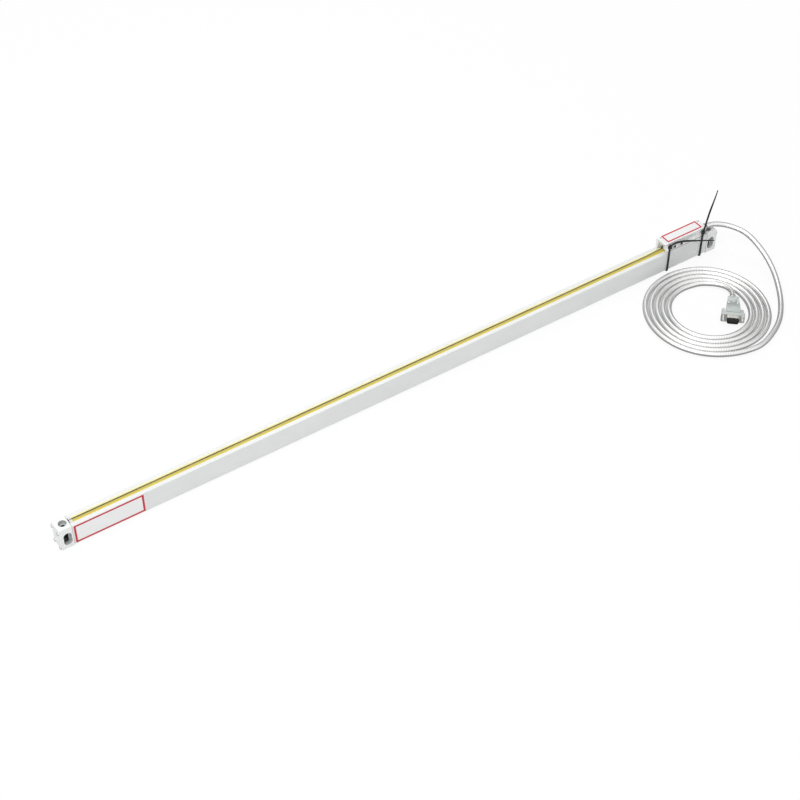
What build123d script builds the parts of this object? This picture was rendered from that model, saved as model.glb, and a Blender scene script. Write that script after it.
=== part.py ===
from build123d import *
import math
import os

os.makedirs("parts", exist_ok=True)

# Sealed linear glass scale with its reading head, armoured cable and 9-pin plug.
# Millimetres. X runs along the scale, -Y is the face with the label, Z is up.
# The origin lies midway between the two vertical mounting holes, on the plane under the end blocks.

# Small round pieces and their holes are drawn with flats, which keeps the model light
small_round_sides = 8
screw_head_sides = 12

# Scale body
measuring_length = 850.0
length_beyond_measuring = 140.0
block_length = 16.5
block_width = 20.0
block_height = 32.5
gasket_thickness = 0.5
housing_width = 19.3
housing_height = 30.8
housing_lift = 1.5
side_wall = 1.85
floor_wall = 2.0
roof_thickness = 5.3
corner_cut = 0.5
overall_length = measuring_length + length_beyond_measuring
housing_length = overall_length - 2 * (block_length + gasket_thickness)
housing_end = housing_length / 2
housing_bottom = housing_lift
housing_top = housing_lift + housing_height
housing_side = housing_width / 2
cavity_side = housing_side - side_wall
cavity_floor = housing_bottom + floor_wall
cavity_top = housing_top - roof_thickness

# Slot in the roof and the pair of sealing lips in it
slot_width = 9.2
groove_depth = 1.3
groove_height = 1.4
groove_top_below_roof = 1.7
lip_gap = 2.0
lip_ridge_rise = 1.2
lip_tip_thickness = 1.2
lip_clearance = 0.1
lip_end_clearance = 0.5
slot_side = slot_width / 2
groove_top = housing_top - groove_top_below_roof

# Glass strip, the two ribs that hold its lower edge and the bedding under it
glass_thickness = 2.4
glass_height = 16.0
glass_front = 1.2
glass_end_clearance = 4.0
bedding_thickness = 0.7
rib_thickness = 1.4
rib_height = 4.0
rib_clearance = 0.1
glass_bottom = cavity_floor + bedding_thickness
glass_top = glass_bottom + glass_height
glass_back = glass_front + glass_thickness

# Mounting holes in the end blocks
mount_hole_inset = 9.5
mount_bolt_hole = 5.6
mount_counterbore = 10.4
counterbore_depth = 5.5
face_slot_height = 15.0
face_recess_width = 10.5
face_recess_height = 19.0
face_slot_centre = 15.0
mount_hole_spacing = overall_length - 2 * mount_hole_inset

# Screws that pull each end block onto the housing
end_screw_root = 2.1
end_screw_clearance_hole = 2.9
end_screw_head = 4.6
end_screw_head_height = 1.5
screw_drive_slot = 0.5
end_screw_grip = 8.0
upper_screw_inset = 2.05
upper_screw_drop = 4.9
lower_screw_inset = 2.35
lower_screw_rise = 2.1
end_screw_places = [
    (side * (housing_side - inset), height)
    for inset, height in (
        (upper_screw_inset, housing_top - upper_screw_drop),
        (lower_screw_inset, housing_bottom + lower_screw_rise),
    )
    for side in (-1, 1)
]
corner_boss_width = 1.9
corner_boss_height = 1.8

# Reading head at rest, at the far right of its travel
head_length = 72.0
head_width = 18.2
head_height = 14.5
head_gap = 1.1
head_end_margin = 21.5
head_cap_thickness = 2.5
head_channel_width = 10.4
head_channel_depth = 1.6
head_edge = 0.4
head_right_end = overall_length / 2 - head_end_margin
head_left_end = head_right_end - head_length
head_bottom = housing_top + head_gap
head_top = head_bottom + head_height
head_side = head_width / 2
head_body_end = head_right_end - head_cap_thickness
channel_top = head_bottom + head_channel_depth

# Cross holes of the head, which also carry the transport ties
cross_hole = 4.6
cross_hole_inset = 8.0
cross_hole_spacing = 58.0
cross_hole_drop = 5.9
cross_hole_height = head_top - cross_hole_drop
cross_hole_left = head_left_end + cross_hole_inset
cross_hole_right = cross_hole_left + cross_hole_spacing

# Chamber, cover and circuit board inside the head
chamber_margin = 4.5
chamber_width = 13.2
chamber_floor_thickness = 4.4
ledge_rise = 1.1
ledge_width = 2.0
cover_thickness = 1.5
cover_overlap = 1.2
cover_clearance = 0.1
board_thickness = 1.2
board_clearance = 0.4
chamber_left = cross_hole_left + chamber_margin
chamber_right = cross_hole_right - chamber_margin
chamber_floor = channel_top + chamber_floor_thickness
ledge_height = chamber_floor + ledge_rise

# Packages on the board: start and length from the chamber's left end, half width and height
board_packages = [(6.0, 9.0, 3.0, 1.6), (20.0, 9.0, 3.0, 1.6), (36.0, 9.0, 5.0, 2.6)]

# Neck blade that passes between the lips
blade_thickness = 1.0
blade_length = 78.0
blade_reach = 9.5
blade_point = 6.0
blade_point_thickness = 0.24
blade_roof_clearance = 0.4
blade_crest_rise = 1.3
blade_root_height = 3.9
blade_root_inset = 2.5
blade_root_margin = 6.0
blade_slot_clearance = 0.06
blade_slot_end_clearance = 0.2
blade_tab_length = 10.0
blade_tab_drop = 4.4
blade_left = head_left_end - blade_reach
blade_right = blade_left + blade_length
blade_bottom = cavity_top + blade_roof_clearance
blade_crest = housing_top + blade_crest_rise
blade_root = channel_top + blade_root_height
blade_root_start = head_left_end + blade_root_inset
blade_root_end = chamber_right - blade_root_margin
blade_tab_bottom = blade_bottom - blade_tab_drop

# Screws that clamp the blade in the head
blade_screw_inset = 18.5
blade_screw_spacing = 12.0
blade_screw_rise = 1.8
blade_screw_diameter = 3.0
blade_screw_head = 5.5
blade_screw_head_height = 3.0
blade_screw_reach = 4.0
blade_screw_recess = 0.3
blade_screw_fit = 0.1
blade_screw_head_gap = 0.15
blade_screw_socket = 2.8
blade_screw_socket_depth = 1.6
blade_screw_first = head_left_end + blade_screw_inset
blade_screw_places = [blade_screw_first, blade_screw_first + blade_screw_spacing]
blade_screw_height = channel_top + blade_screw_rise
blade_screw_seat = blade_screw_head_height + blade_screw_recess

# Screws of the head's end cap
cap_screw_inset = 2.2
cap_screw_grip = 5.0
cap_screw_head = 3.8
cap_screw_head_height = 1.2
cap_screw_slot = 0.5
cap_screw_places = [(side * (head_side - cap_screw_inset), head_top - cap_screw_inset) for side in (-1, 1)]

# Carriage that rolls on the glass
carriage_inset = 36.5
carriage_length = 60.0
carriage_wall = 1.5
carriage_front_gap = 2.0
carriage_back_gap = 0.9
carriage_rib_gap = 1.5
carriage_roof_clearance = 0.4
bridge_thickness = 1.1
carriage_centre = head_left_end + carriage_inset
carriage_left = carriage_centre - carriage_length / 2
carriage_front = carriage_front_gap - cavity_side
carriage_back = cavity_side - carriage_back_gap
carriage_bottom = cavity_floor + rib_height + carriage_rib_gap
carriage_top = cavity_top - carriage_roof_clearance

# Rollers and their axles: offset from the carriage's centre and height on the glass
face_roller_diameter = 5.0
face_roller_width = 3.0
face_roller_places = [("left", -25.0, 11.8), ("right", 25.0, 11.8), ("low", -17.0, 7.3)]
edge_roller_diameter = 4.6
edge_roller_width = 3.0
edge_roller_places = [("left", -18.0), ("right", 18.0)]
roller_running_gap = 0.15
roller_side_gap = 0.2
axle_diameter = 1.5
axle_fit = 0.05
roller_bore = (axle_diameter + 2 * axle_fit) / math.cos(math.pi / small_round_sides)
lug_thickness = 1.2
lug_half_width = 2.6

# Optics on the carriage
optics_length = 22.0
optics_rise = 1.0
optics_height = 9.0
optics_edge = 0.5
optics_board_thickness = 0.8
lens_depth = 0.5
lens_length = 12.0
lens_height = 6.0
index_glass_thickness = 1.0
index_glass_gap = 0.4
receiver_margin = 2.0
index_margin = 3.0
optics_bottom = carriage_bottom + optics_rise

# Ribbon from the optics to the board in the head
ribbon_width = 8.0
ribbon_thickness = 0.2
ribbon_turn_drop = 0.7
ribbon_slope = 0.6
ribbon_turn_height = blade_tab_bottom - ribbon_turn_drop

# Coupling wire between blade and carriage
coupling_wire_diameter = 0.8
coupling_wire_fit = 0.05
coupling_wire_rise = 1.2
coupling_wire_half_length = 11.0
coupling_lug_thickness = 2.0
coupling_wire_height = blade_tab_bottom + coupling_wire_rise

# Cable
cable_diameter = 7.2
cable_sides = 8
cable_exit_rise = 5.4
ferrule_diameter = 9.4
ferrule_length = 7.0
ferrule_seat = 4.5
ferrule_wall_clearance = 0.05
core_diameter = 3.2
core_fit = 0.1
core_rise = 2.3
coil_offset = (-69.5, -105.5)
coil_first_radius = 84.5
coil_pitch = 7.6
coil_join = 6.8
coil_join_sweep = 90.0
coil_shift_start = 0.73
coil_start_turn = 60.0
coil_end_turn = 1692.0
coil_zero_direction = -33.65
coil_point_step = 15.0
cable_rest_height = cable_diameter / 2
cable_exit_height = head_bottom + cable_exit_rise
core_height = channel_top + core_rise
coil_centre = (head_right_end + coil_offset[0], coil_offset[1])

# Plug, measured from the point where the cable enters it
plug_offset = (-31.0, -106.5)
plug_direction = -131.5
hood_length = 43.5
hood_height = 15.0
hood_tail_half = 7.2
hood_shoulder = 12.0
hood_half = 10.0
hood_wall = 1.6
hood_lug_length = 5.0
hood_cable_seat = 2.0
hood_core_hole = 4.4
hood_screw_inset = 19.0
hood_screw_spacing = 11.8
hood_screw_diameter = 2.5
hood_screw_head = 4.4
hood_screw_head_height = 1.4
hood_screw_head_gap = 0.15
hood_screw_slot = 0.6
hood_post_wall = 0.6
hood_post_end = 0.2
hood_screw_start = 2.0
hood_edge = 0.8
flange_width = 30.8
flange_height = 12.5
flange_thickness = 1.0
flange_corner = 1.0
shell_width = 17.0
shell_height = 8.4
shell_slant = 10.0
shell_wall = 0.5
shell_depth = 6.0
insulator_back = 6.0
insulator_front = 0.6
pin_diameter = 1.0
pin_pitch = 2.77
pin_row_spacing = 2.84
pin_recess = 0.7
thumbscrew_spacing = 25.0
thumbscrew_diameter = 3.0
thumbscrew_fit = 0.08
thumbscrew_knob = 4.5
thumbscrew_knob_length = 10.0
thumbscrew_knob_gap = 1.5
thumbscrew_slot = 0.7
thumbscrew_reach = 5.0
plug_axis_height = hood_height / 2
plug_entry = (head_right_end + plug_offset[0], plug_offset[1])
hood_screw_places = [(hood_screw_inset, side * hood_screw_spacing / 2) for side in (-1, 1)]

# Transport ties
tie_width = 2.5
tie_thickness = 1.1
tie_clearance = 0.35
tie_bend = 1.0
tie_head_width = 4.8
tie_head_depth = 3.8
tie_head_height = 6.6
tie_head_edge = 0.6

# Points of the cable's free stretches: along X from the head's end, along Y and the centre line's height
lead_route = [
    (14.2, 0.0, 38.8),
    (25.6, -3.4, 38.5),
    (35.6, -9.8, 37.4),
    (44.2, -19.7, 35.4),
    (50.1, -34.4, 32.9),
    (50.8, -54.7, 30.4),
    (51.2, -78.4, 20.8),
    (45.6, -101.8, 12.6),
    (33.1, -127.0, 5.9),
    (14.2, -151.7, 3.8),
    (-10.4, -174.6, 3.7),
    (-40.2, -188.8, 3.65),
    (-59.1, -193.74, 3.6),
]
tail_route = [
    (-48.9, -55.1, 3.6),
    (-39.3, -59.9, 3.65),
    (-28.3, -71.2, 4.1),
    (-23.8, -80.4, 5.2),
    (-22.8, -90.5, 6.5),
    (-25.5, -100.3, 7.5),
]

# Points of the ties' loose ends, from the cross hole's axis at each tie
left_tie_tail = [
    (1.0, -11.2, 0.0),
    (20.5, -11.0, 0.4),
    (36.5, -14.5, -0.6),
    (51.5, -22.0, -3.0),
    (70.5, -28.5, -6.0),
]
right_tie_tail = [
    (0.1, -11.3, 2.0),
    (1.5, -12.5, 14.0),
    (5.0, -13.5, 30.0),
    (9.5, -13.0, 50.0),
    (14.0, -12.0, 70.0),
]


def slab(x0, x1, y0, y1, z0, z1):
    """Box between two corners."""
    corner = (Align.MIN, Align.MIN, Align.MIN)
    return Pos(x0, y0, z0) * Box(x1 - x0, y1 - y0, z1 - z0, align=corner)


def rod(diameter, start, direction, length):
    """Cylinder from a point along a direction."""
    plane = Plane(origin=start, z_dir=direction)
    return extrude(plane * Circle(diameter / 2), amount=length)


def small_round(diameter):
    """Outline of a small round piece or of its hole."""
    return RegularPolygon(diameter / 2, small_round_sides)


def pin(diameter, start, direction, length):
    """Small round piece from a point along a direction."""
    return extrude(Plane(origin=start, z_dir=direction) * small_round(diameter), amount=length)


def screw_head(diameter, start, direction, length):
    """Screw's head, or the recess for it."""
    outline = RegularPolygon(diameter / 2, screw_head_sides)
    return extrude(Plane(origin=start, z_dir=direction) * outline, amount=length)


def across(x, profile, length):
    """Profile drawn in Y and Z, extruded along X from a place."""
    return extrude(Plane(origin=(x, 0, 0), x_dir=(0, 1, 0), z_dir=(1, 0, 0)) * profile, amount=length)


def at_front(y, profile, depth):
    """Profile drawn in X and Z, extruded from a place towards +Y."""
    return extrude(Plane(origin=(0, y, 0), x_dir=(1, 0, 0), z_dir=(0, -1, 0)) * profile, amount=-depth)


def centred(profile, u, v):
    """Profile moved in its own plane."""
    return Pos(u, v) * profile


def save(node, shape):
    """One file for each node."""
    solids = shape if isinstance(shape, list) else [shape]
    shape = Compound(children=solids) if len(solids) > 1 else solids[0]
    shape.label = node
    export_step(shape, f"parts/{node}.step")


# Scale body


def housing():
    """Extruded tube with the slot, lip grooves, glass ribs and screw ports."""
    middle = (housing_bottom + housing_top) / 2
    cavity_middle = (cavity_floor + cavity_top) / 2
    outside = Rectangle(housing_width, housing_height)
    profile = centred(chamfer(outside.vertices(), corner_cut), 0, middle)
    cavity = centred(Rectangle(2 * cavity_side, cavity_top - cavity_floor), 0, cavity_middle)
    for side in (-1, 1):
        boss_y = side * (cavity_side - corner_boss_width / 2)
        boss_z = cavity_floor + corner_boss_height / 2
        cavity -= centred(Rectangle(corner_boss_width, corner_boss_height), boss_y, boss_z)
    profile -= cavity
    slot_height = housing_top - cavity_top
    profile -= centred(Rectangle(slot_width, slot_height), 0, cavity_top + slot_height / 2)
    groove_width = slot_width + 2 * groove_depth
    profile -= centred(Rectangle(groove_width, groove_height), 0, groove_top - groove_height / 2)
    rib_step = rib_clearance + rib_thickness / 2
    for rib_y in (glass_front - rib_step, glass_back + rib_step):
        profile += centred(Rectangle(rib_thickness, rib_height), rib_y, cavity_floor + rib_height / 2)
    for y, z in end_screw_places:
        profile -= centred(small_round(end_screw_root), y, z)
    return across(-housing_end, profile, housing_length)


def seal_lip(side):
    """Soft strip whose foot sits in the groove and whose top rises to the ridge beside the slit."""
    foot = slot_side + groove_depth - lip_clearance
    root = slot_side - lip_clearance / 2
    tip = lip_gap / 2
    foot_top = groove_top - lip_clearance
    foot_bottom = groove_top - groove_height + lip_clearance
    ridge = housing_top + lip_ridge_rise
    outline = [
        (foot, foot_bottom),
        (foot, foot_top),
        (root, foot_top),
        (root, housing_top),
        (tip, ridge),
        (tip, ridge - lip_tip_thickness),
        (root - lip_tip_thickness, foot_top),
        (root - lip_tip_thickness, foot_bottom),
    ]
    profile = make_face(Polyline([(side * y, z) for y, z in outline], close=True))
    strip = across(-housing_end + lip_end_clearance, profile, housing_length - 2 * lip_end_clearance)
    return strip


def glass_scale():
    """Graduated glass strip that stands on its lower edge between the ribs."""
    reach = housing_end - glass_end_clearance
    return slab(-reach, reach, glass_front, glass_back, glass_bottom, glass_top)


def glass_bedding():
    """Cement between the housing's floor and the glass."""
    reach = housing_end - glass_end_clearance
    front = glass_front - rib_clearance
    back = glass_back + rib_clearance
    return slab(-reach, reach, front, back, cavity_floor, glass_bottom)


def end_gasket(side):
    """Flat seal between housing and end block, with cut corners."""
    start = housing_end if side > 0 else -housing_end - gasket_thickness
    seal = slab(start, start + gasket_thickness, -housing_side, housing_side, housing_bottom, housing_top)
    seal = chamfer(seal.edges().filter_by(Axis.X), corner_cut)
    for y, z in end_screw_places:
        seal -= pin(end_screw_clearance_hole, (start, y, z), (1, 0, 0), gasket_thickness)
    return seal


def end_block(side):
    """Block with a counterbored vertical hole, a recessed upright slot and four screw holes."""
    inner = housing_end + gasket_thickness
    start = inner if side > 0 else -inner - block_length
    hole_x = side * mount_hole_spacing / 2
    block = slab(start, start + block_length, -block_width / 2, block_width / 2, 0, block_height)
    block = chamfer(block.edges().filter_by(Axis.X), corner_cut)
    block -= rod(mount_bolt_hole, (hole_x, 0, 0), (0, 0, 1), block_height)
    seat = block_height - counterbore_depth
    block -= rod(mount_counterbore, (hole_x, 0, seat), (0, 0, 1), counterbore_depth)
    slot = SlotOverall(face_slot_height, mount_bolt_hole, rotation=90)
    recess = SlotOverall(face_recess_height, face_recess_width, rotation=90)
    block -= at_front(-block_width / 2, centred(slot, hole_x, face_slot_centre), block_width)
    block -= at_front(-block_width / 2, centred(recess, hole_x, face_slot_centre), counterbore_depth)
    for y, z in end_screw_places:
        block -= pin(end_screw_clearance_hole, (start, y, z), (1, 0, 0), block_length)
    return block


def end_screws(side):
    """Pan-head screws with a slot, one in each corner of the end block."""
    screws = []
    face = side * overall_length / 2
    shank = block_length + gasket_thickness + end_screw_grip
    for y, z in end_screw_places:
        screw = screw_head(end_screw_head, (face, y, z), (side, 0, 0), end_screw_head_height)
        screw += pin(end_screw_root, (face - side * shank, y, z), (side, 0, 0), shank)
        slot = Box(end_screw_head_height, end_screw_head, screw_drive_slot)
        screws.append(screw - Pos(face + side * end_screw_head_height, y, z) * slot)
    return screws


# Reading head


def head_body():
    """Aluminium block with a channel over the lips, the blade's slot, a chamber and the cross holes."""
    body = slab(head_left_end, head_body_end, -head_side, head_side, head_bottom, head_top)
    body = chamfer(body.edges().filter_by(Axis.X), head_edge)
    channel = head_channel_width / 2
    body -= slab(head_left_end, head_body_end, -channel, channel, head_bottom, channel_top)
    half_slot = blade_thickness / 2 + blade_slot_clearance
    slot_left = blade_root_start - blade_slot_end_clearance
    slot_right = blade_root_end + blade_slot_end_clearance
    slot_top = blade_root + blade_slot_clearance
    body -= slab(slot_left, slot_right, -half_slot, half_slot, channel_top, slot_top)
    ledge_side = chamber_width / 2 - ledge_width
    body -= slab(chamber_left, chamber_right, -ledge_side, ledge_side, chamber_floor, head_top)
    body -= slab(chamber_left, chamber_right, -chamber_width / 2, chamber_width / 2, ledge_height, head_top)
    lid = chamber_width / 2 + cover_overlap
    lid_floor = head_top - cover_thickness
    body -= slab(chamber_left - cover_overlap, chamber_right + cover_overlap, -lid, lid, lid_floor, head_top)
    for x in (cross_hole_left, cross_hole_right):
        body -= rod(cross_hole, (x, -head_side, cross_hole_height), (0, 1, 0), head_width)
    recess = blade_screw_head + 2 * blade_screw_head_gap
    for x in blade_screw_places:
        start = (x, -head_side, blade_screw_height)
        body -= screw_head(recess, start, (0, 1, 0), blade_screw_seat)
        body -= pin(blade_screw_diameter, start, (0, 1, 0), head_side + blade_screw_reach)
    body -= pin(core_diameter, (chamber_right - 1, 0, core_height), (1, 0, 0), head_length)
    core_side = core_diameter / 2
    body -= slab(chamber_right - 3, chamber_right, -core_side, core_side, core_height, chamber_floor)
    gap = ribbon_width / 2 + board_clearance
    ribbon_back = blade_thickness / 2 + 2 * ribbon_thickness + board_clearance
    body -= slab(carriage_centre - gap, carriage_centre + gap, 0, ribbon_back, head_bottom, ledge_height)
    for y, z in cap_screw_places:
        body -= pin(end_screw_root, (head_body_end - cap_screw_grip, y, z), (1, 0, 0), cap_screw_grip)
    return body


def head_cover():
    """Lid over the chamber, flush with the head's top."""
    side = chamber_width / 2 + cover_overlap - cover_clearance
    left = chamber_left - cover_overlap + cover_clearance
    right = chamber_right + cover_overlap - cover_clearance
    return slab(left, right, -side, side, head_top - cover_thickness, head_top)


def head_end_cap():
    """Plate over the head's cable end, with the cable's passage and two screws' holes."""
    cap = slab(head_body_end, head_right_end, -head_side, head_side, head_bottom, head_top)
    cap = chamfer(cap.edges().filter_by(Axis.X), head_edge)
    channel = head_channel_width / 2
    cap -= slab(head_body_end, head_right_end, -channel, channel, head_bottom, channel_top)
    cap -= pin(core_diameter, (head_body_end, 0, core_height), (1, 0, 0), head_cap_thickness)
    for y, z in cap_screw_places:
        cap -= pin(end_screw_clearance_hole, (head_body_end, y, z), (1, 0, 0), head_cap_thickness)
    return cap


def end_cap_screws():
    """Two pan-head screws in the head's end cap."""
    screws = []
    shank = cap_screw_grip + head_cap_thickness
    for y, z in cap_screw_places:
        screw = screw_head(cap_screw_head, (head_right_end, y, z), (1, 0, 0), cap_screw_head_height)
        screw += pin(end_screw_root, (head_body_end - cap_screw_grip, y, z), (1, 0, 0), shank)
        slot = Box(cap_screw_head_height, cap_screw_head, cap_screw_slot)
        screws.append(screw - Pos(head_right_end + cap_screw_head_height, y, z) * slot)
    return screws


def blade_screws():
    """Socket-head screws that clamp the blade in the head."""
    screws = []
    seat = -head_side + blade_screw_seat
    shank = blade_screw_reach - seat - blade_screw_fit
    for x in blade_screw_places:
        face = (x, seat - blade_screw_head_height, blade_screw_height)
        head = screw_head(blade_screw_head, face, (0, 1, 0), blade_screw_head_height)
        thread = pin(blade_screw_diameter - blade_screw_fit, (x, seat, blade_screw_height), (0, 1, 0), shank)
        hexagon = centred(RegularPolygon(blade_screw_socket / 2, 6), x, blade_screw_height)
        screws.append(head + thread - at_front(face[1], hexagon, blade_screw_socket_depth))
    return screws


def neck_blade():
    """Thin steel blade, pointed at both ends, with a tab down to the carriage."""
    half = blade_thickness / 2
    tip = blade_point_thickness / 2
    plan = [
        (blade_left, tip),
        (blade_left + blade_point, half),
        (blade_right - blade_point, half),
        (blade_right, tip),
        (blade_right, -tip),
        (blade_right - blade_point, -half),
        (blade_left + blade_point, -half),
        (blade_left, -tip),
    ]
    outline = make_face(Polyline(plan, close=True))
    blade = extrude(Pos(0, 0, blade_bottom) * outline, amount=blade_root - blade_bottom)
    for x0, x1 in ((blade_left - 1, blade_root_start), (blade_root_end, blade_right + 1)):
        blade -= slab(x0, x1, -2, 2, blade_crest, blade_root + 1)
    tab = blade_tab_length / 2
    blade += slab(carriage_centre - tab, carriage_centre + tab, -half, half, blade_tab_bottom, blade_bottom)
    for x in blade_screw_places:
        blade -= pin(blade_screw_diameter, (x, -half, blade_screw_height), (0, 1, 0), blade_thickness)
    hole = coupling_wire_diameter + 2 * coupling_wire_fit
    blade -= pin(hole, (carriage_centre - tab, 0, coupling_wire_height), (1, 0, 0), blade_tab_length)
    return blade


def signal_board():
    """Circuit board on the chamber's ledge."""
    side = chamber_width / 2 - board_clearance
    left = chamber_left + board_clearance
    right = chamber_right - board_clearance
    return slab(left, right, -side, side, ledge_height, ledge_height + board_thickness)


def board_chips():
    """Comparator, line driver and terminal block on the board."""
    top = ledge_height + board_thickness
    chips = []
    for inset, length, half, height in board_packages:
        left = chamber_left + inset
        chips.append(slab(left, left + length, -half, half, top, top + height))
    return chips


def ribbon():
    """Flat cable along the blade, from the optics up to the board."""
    y = blade_thickness / 2 + ribbon_thickness / 2
    front = carriage_front + carriage_wall + optics_board_thickness / 2
    low_turn = ribbon_turn_height - ribbon_slope
    line = Polyline((y, ledge_height), (y, ribbon_turn_height), (front, low_turn), (front, optics_top()))
    path = offset(line, ribbon_thickness / 2, side=Side.BOTH)
    strip = across(carriage_centre - ribbon_width / 2, make_face(path), ribbon_width)
    left = carriage_centre - ribbon_width / 2
    return strip & slab(left, left + ribbon_width, front - 1, y + 1, optics_top(), ledge_height)


# Carriage


def optics_top():
    """Upper edge of the optics."""
    return optics_bottom + optics_height


def face_roller_y():
    """Y of the face rollers' axes."""
    return glass_front - roller_running_gap - face_roller_diameter / 2


def face_roller_z(height_on_glass):
    """Height of a face roller's middle."""
    return glass_bottom + height_on_glass


def edge_roller_z():
    """Height of the edge rollers' axes."""
    return glass_top + roller_running_gap + edge_roller_diameter / 2


def edge_roller_y():
    """Y of the edge rollers' middle planes, over the glass's edge."""
    return (glass_front + glass_back) / 2


def carriage_frame():
    """Inverted trough over the glass, with lugs for the rollers' axles and the coupling wire."""
    right = carriage_left + carriage_length
    frame = slab(carriage_left, right, carriage_front, carriage_back, carriage_bottom, carriage_top)
    inner_front = carriage_front + carriage_wall
    inner_back = carriage_back - carriage_wall
    bridge_under = carriage_top - bridge_thickness
    frame -= slab(carriage_left, right, inner_front, inner_back, carriage_bottom, bridge_under)
    slot = blade_tab_length / 2 + 0.5
    frame -= slab(carriage_centre - slot, carriage_centre + slot, -1.0, 1.2, bridge_under, carriage_top)
    half_roller = face_roller_width / 2 + roller_side_gap
    y = face_roller_y()
    for _, offset_x, height_on_glass in face_roller_places:
        x = carriage_centre + offset_x
        z = face_roller_z(height_on_glass)
        for low in (z - half_roller - lug_thickness, z + half_roller):
            lug = slab(x - lug_half_width, x + lug_half_width, inner_front, y + 1.4, low, low + lug_thickness)
            frame += lug
        bottom = z - half_roller - lug_thickness
        frame -= pin(axle_diameter, (x, y, bottom), (0, 0, 1), 2 * (half_roller + lug_thickness))
    half_edge = edge_roller_width / 2 + roller_side_gap
    y = edge_roller_y()
    z = edge_roller_z()
    for _, offset_x in edge_roller_places:
        x = carriage_centre + offset_x
        for near in (y - half_edge - lug_thickness, y + half_edge):
            far = inner_back if near > y else near + lug_thickness
            frame += slab(x - lug_half_width, x + lug_half_width, near, far, z - 1.4, bridge_under)
        start = y - half_edge - lug_thickness
        frame -= pin(axle_diameter, (x, start, z), (0, 1, 0), inner_back - start)
    for end in (-1, 1):
        outer = carriage_centre + end * coupling_wire_half_length
        inner = outer - end * coupling_lug_thickness
        low = coupling_wire_height - 1.0
        frame += slab(min(outer, inner), max(outer, inner), -1.0, 1.0, low, bridge_under)
    start = (carriage_centre - coupling_wire_half_length, 0, coupling_wire_height)
    frame -= pin(coupling_wire_diameter, start, (1, 0, 0), 2 * coupling_wire_half_length)
    return frame


def face_roller(place):
    """Ball race that rolls on the front of the glass."""
    _, offset_x, height_on_glass = place
    low = face_roller_z(height_on_glass) - face_roller_width / 2
    base = (carriage_centre + offset_x, face_roller_y(), low)
    roller = rod(face_roller_diameter, base, (0, 0, 1), face_roller_width)
    return roller - pin(roller_bore, base, (0, 0, 1), face_roller_width)


def edge_roller(place):
    """Ball race that rolls on the upper edge of the glass."""
    _, offset_x = place
    base = (carriage_centre + offset_x, edge_roller_y() - edge_roller_width / 2, edge_roller_z())
    roller = rod(edge_roller_diameter, base, (0, 1, 0), edge_roller_width)
    return roller - pin(roller_bore, base, (0, 1, 0), edge_roller_width)


def face_axles():
    """Upright pins of the face rollers."""
    half = face_roller_width / 2 + roller_side_gap + lug_thickness
    pins = []
    for _, offset_x, height_on_glass in face_roller_places:
        start = (carriage_centre + offset_x, face_roller_y(), face_roller_z(height_on_glass) - half)
        pins.append(pin(axle_diameter, start, (0, 0, 1), 2 * half))
    return pins


def edge_axles():
    """Cross pins of the edge rollers."""
    half = edge_roller_width / 2 + roller_side_gap
    start = edge_roller_y() - half - lug_thickness
    end = carriage_back - carriage_wall
    pins = []
    for _, offset_x in edge_roller_places:
        base = (carriage_centre + offset_x, start, edge_roller_z())
        pins.append(pin(axle_diameter, base, (0, 1, 0), end - start))
    return pins


def coupling_wire():
    """Spring wire through the blade's tab, held at both ends by the carriage."""
    start = (carriage_centre - coupling_wire_half_length, 0, coupling_wire_height)
    return pin(coupling_wire_diameter, start, (1, 0, 0), 2 * coupling_wire_half_length)


def optics():
    """Lamp board, lens, receiver board, receiver block and index glass, either side of the glass."""
    left = carriage_centre - optics_length / 2
    right = carriage_centre + optics_length / 2
    back = carriage_back - carriage_wall
    front = carriage_front + carriage_wall
    low = optics_bottom
    high = optics_top()
    lamp_face = back - optics_board_thickness
    board_face = front + optics_board_thickness
    index_back = glass_front - index_glass_gap
    index_front = index_back - index_glass_thickness
    outline = centred(Rectangle(lens_length, lens_height), carriage_centre, (low + high) / 2)
    receiver = (left + receiver_margin, right - receiver_margin)
    index = (left + index_margin, right - index_margin)
    inner_low = low + optics_edge
    inner_high = high - optics_edge
    return {
        "lamp_board": slab(left, right, lamp_face, back, low, high),
        "lamp_lens": at_front(lamp_face - lens_depth, outline, lens_depth),
        "receiver_board": slab(left, right, front, board_face, low, high),
        "receiver_block": slab(*receiver, board_face, index_front, inner_low, inner_high),
        "index_glass": slab(*index, index_front, index_back, inner_low, inner_high),
    }


# Cable


def smooth(share):
    """Eased step from 0 to 1."""
    share = min(max(share, 0.0), 1.0)
    return share * share * (3 - 2 * share)


def coil_radius(turn):
    """Radius of the cable's centre line after a clockwise turn in degrees."""
    whole, part = divmod(turn / 360.0, 1.0)
    shift = smooth((part - coil_shift_start) / (1 - coil_shift_start))
    return coil_first_radius - coil_pitch * (whole + shift) + coil_join * (1 - smooth(turn / coil_join_sweep))


def coil_point(turn, outward=0.0):
    """X and Y of the coil's centre line, or of a line beside it."""
    angle = math.radians(coil_zero_direction - turn)
    radius = coil_radius(turn) + outward
    return (coil_centre[0] + radius * math.cos(angle), coil_centre[1] + radius * math.sin(angle))


def coil_turns(start, end):
    """Evenly spaced turns between two, both included, for the ends and middles of arcs."""
    count = 2 * round((end - start) / coil_point_step / 2)
    return [start + (end - start) * k / count for k in range(count + 1)]


def squared(turn, step):
    """Turns by which a line square to the cable drifts over a step towards the centre."""
    slope = (coil_radius(turn + 0.5) - coil_radius(turn - 0.5)) / math.radians(1)
    return math.degrees(step * slope / coil_radius(turn) ** 2)


def arcs(points):
    """Chain of arcs, each from a point through the next to the one after."""
    return [ThreePointArc(*points[k:k + 3]) for k in range(0, len(points) - 2, 2)]


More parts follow.
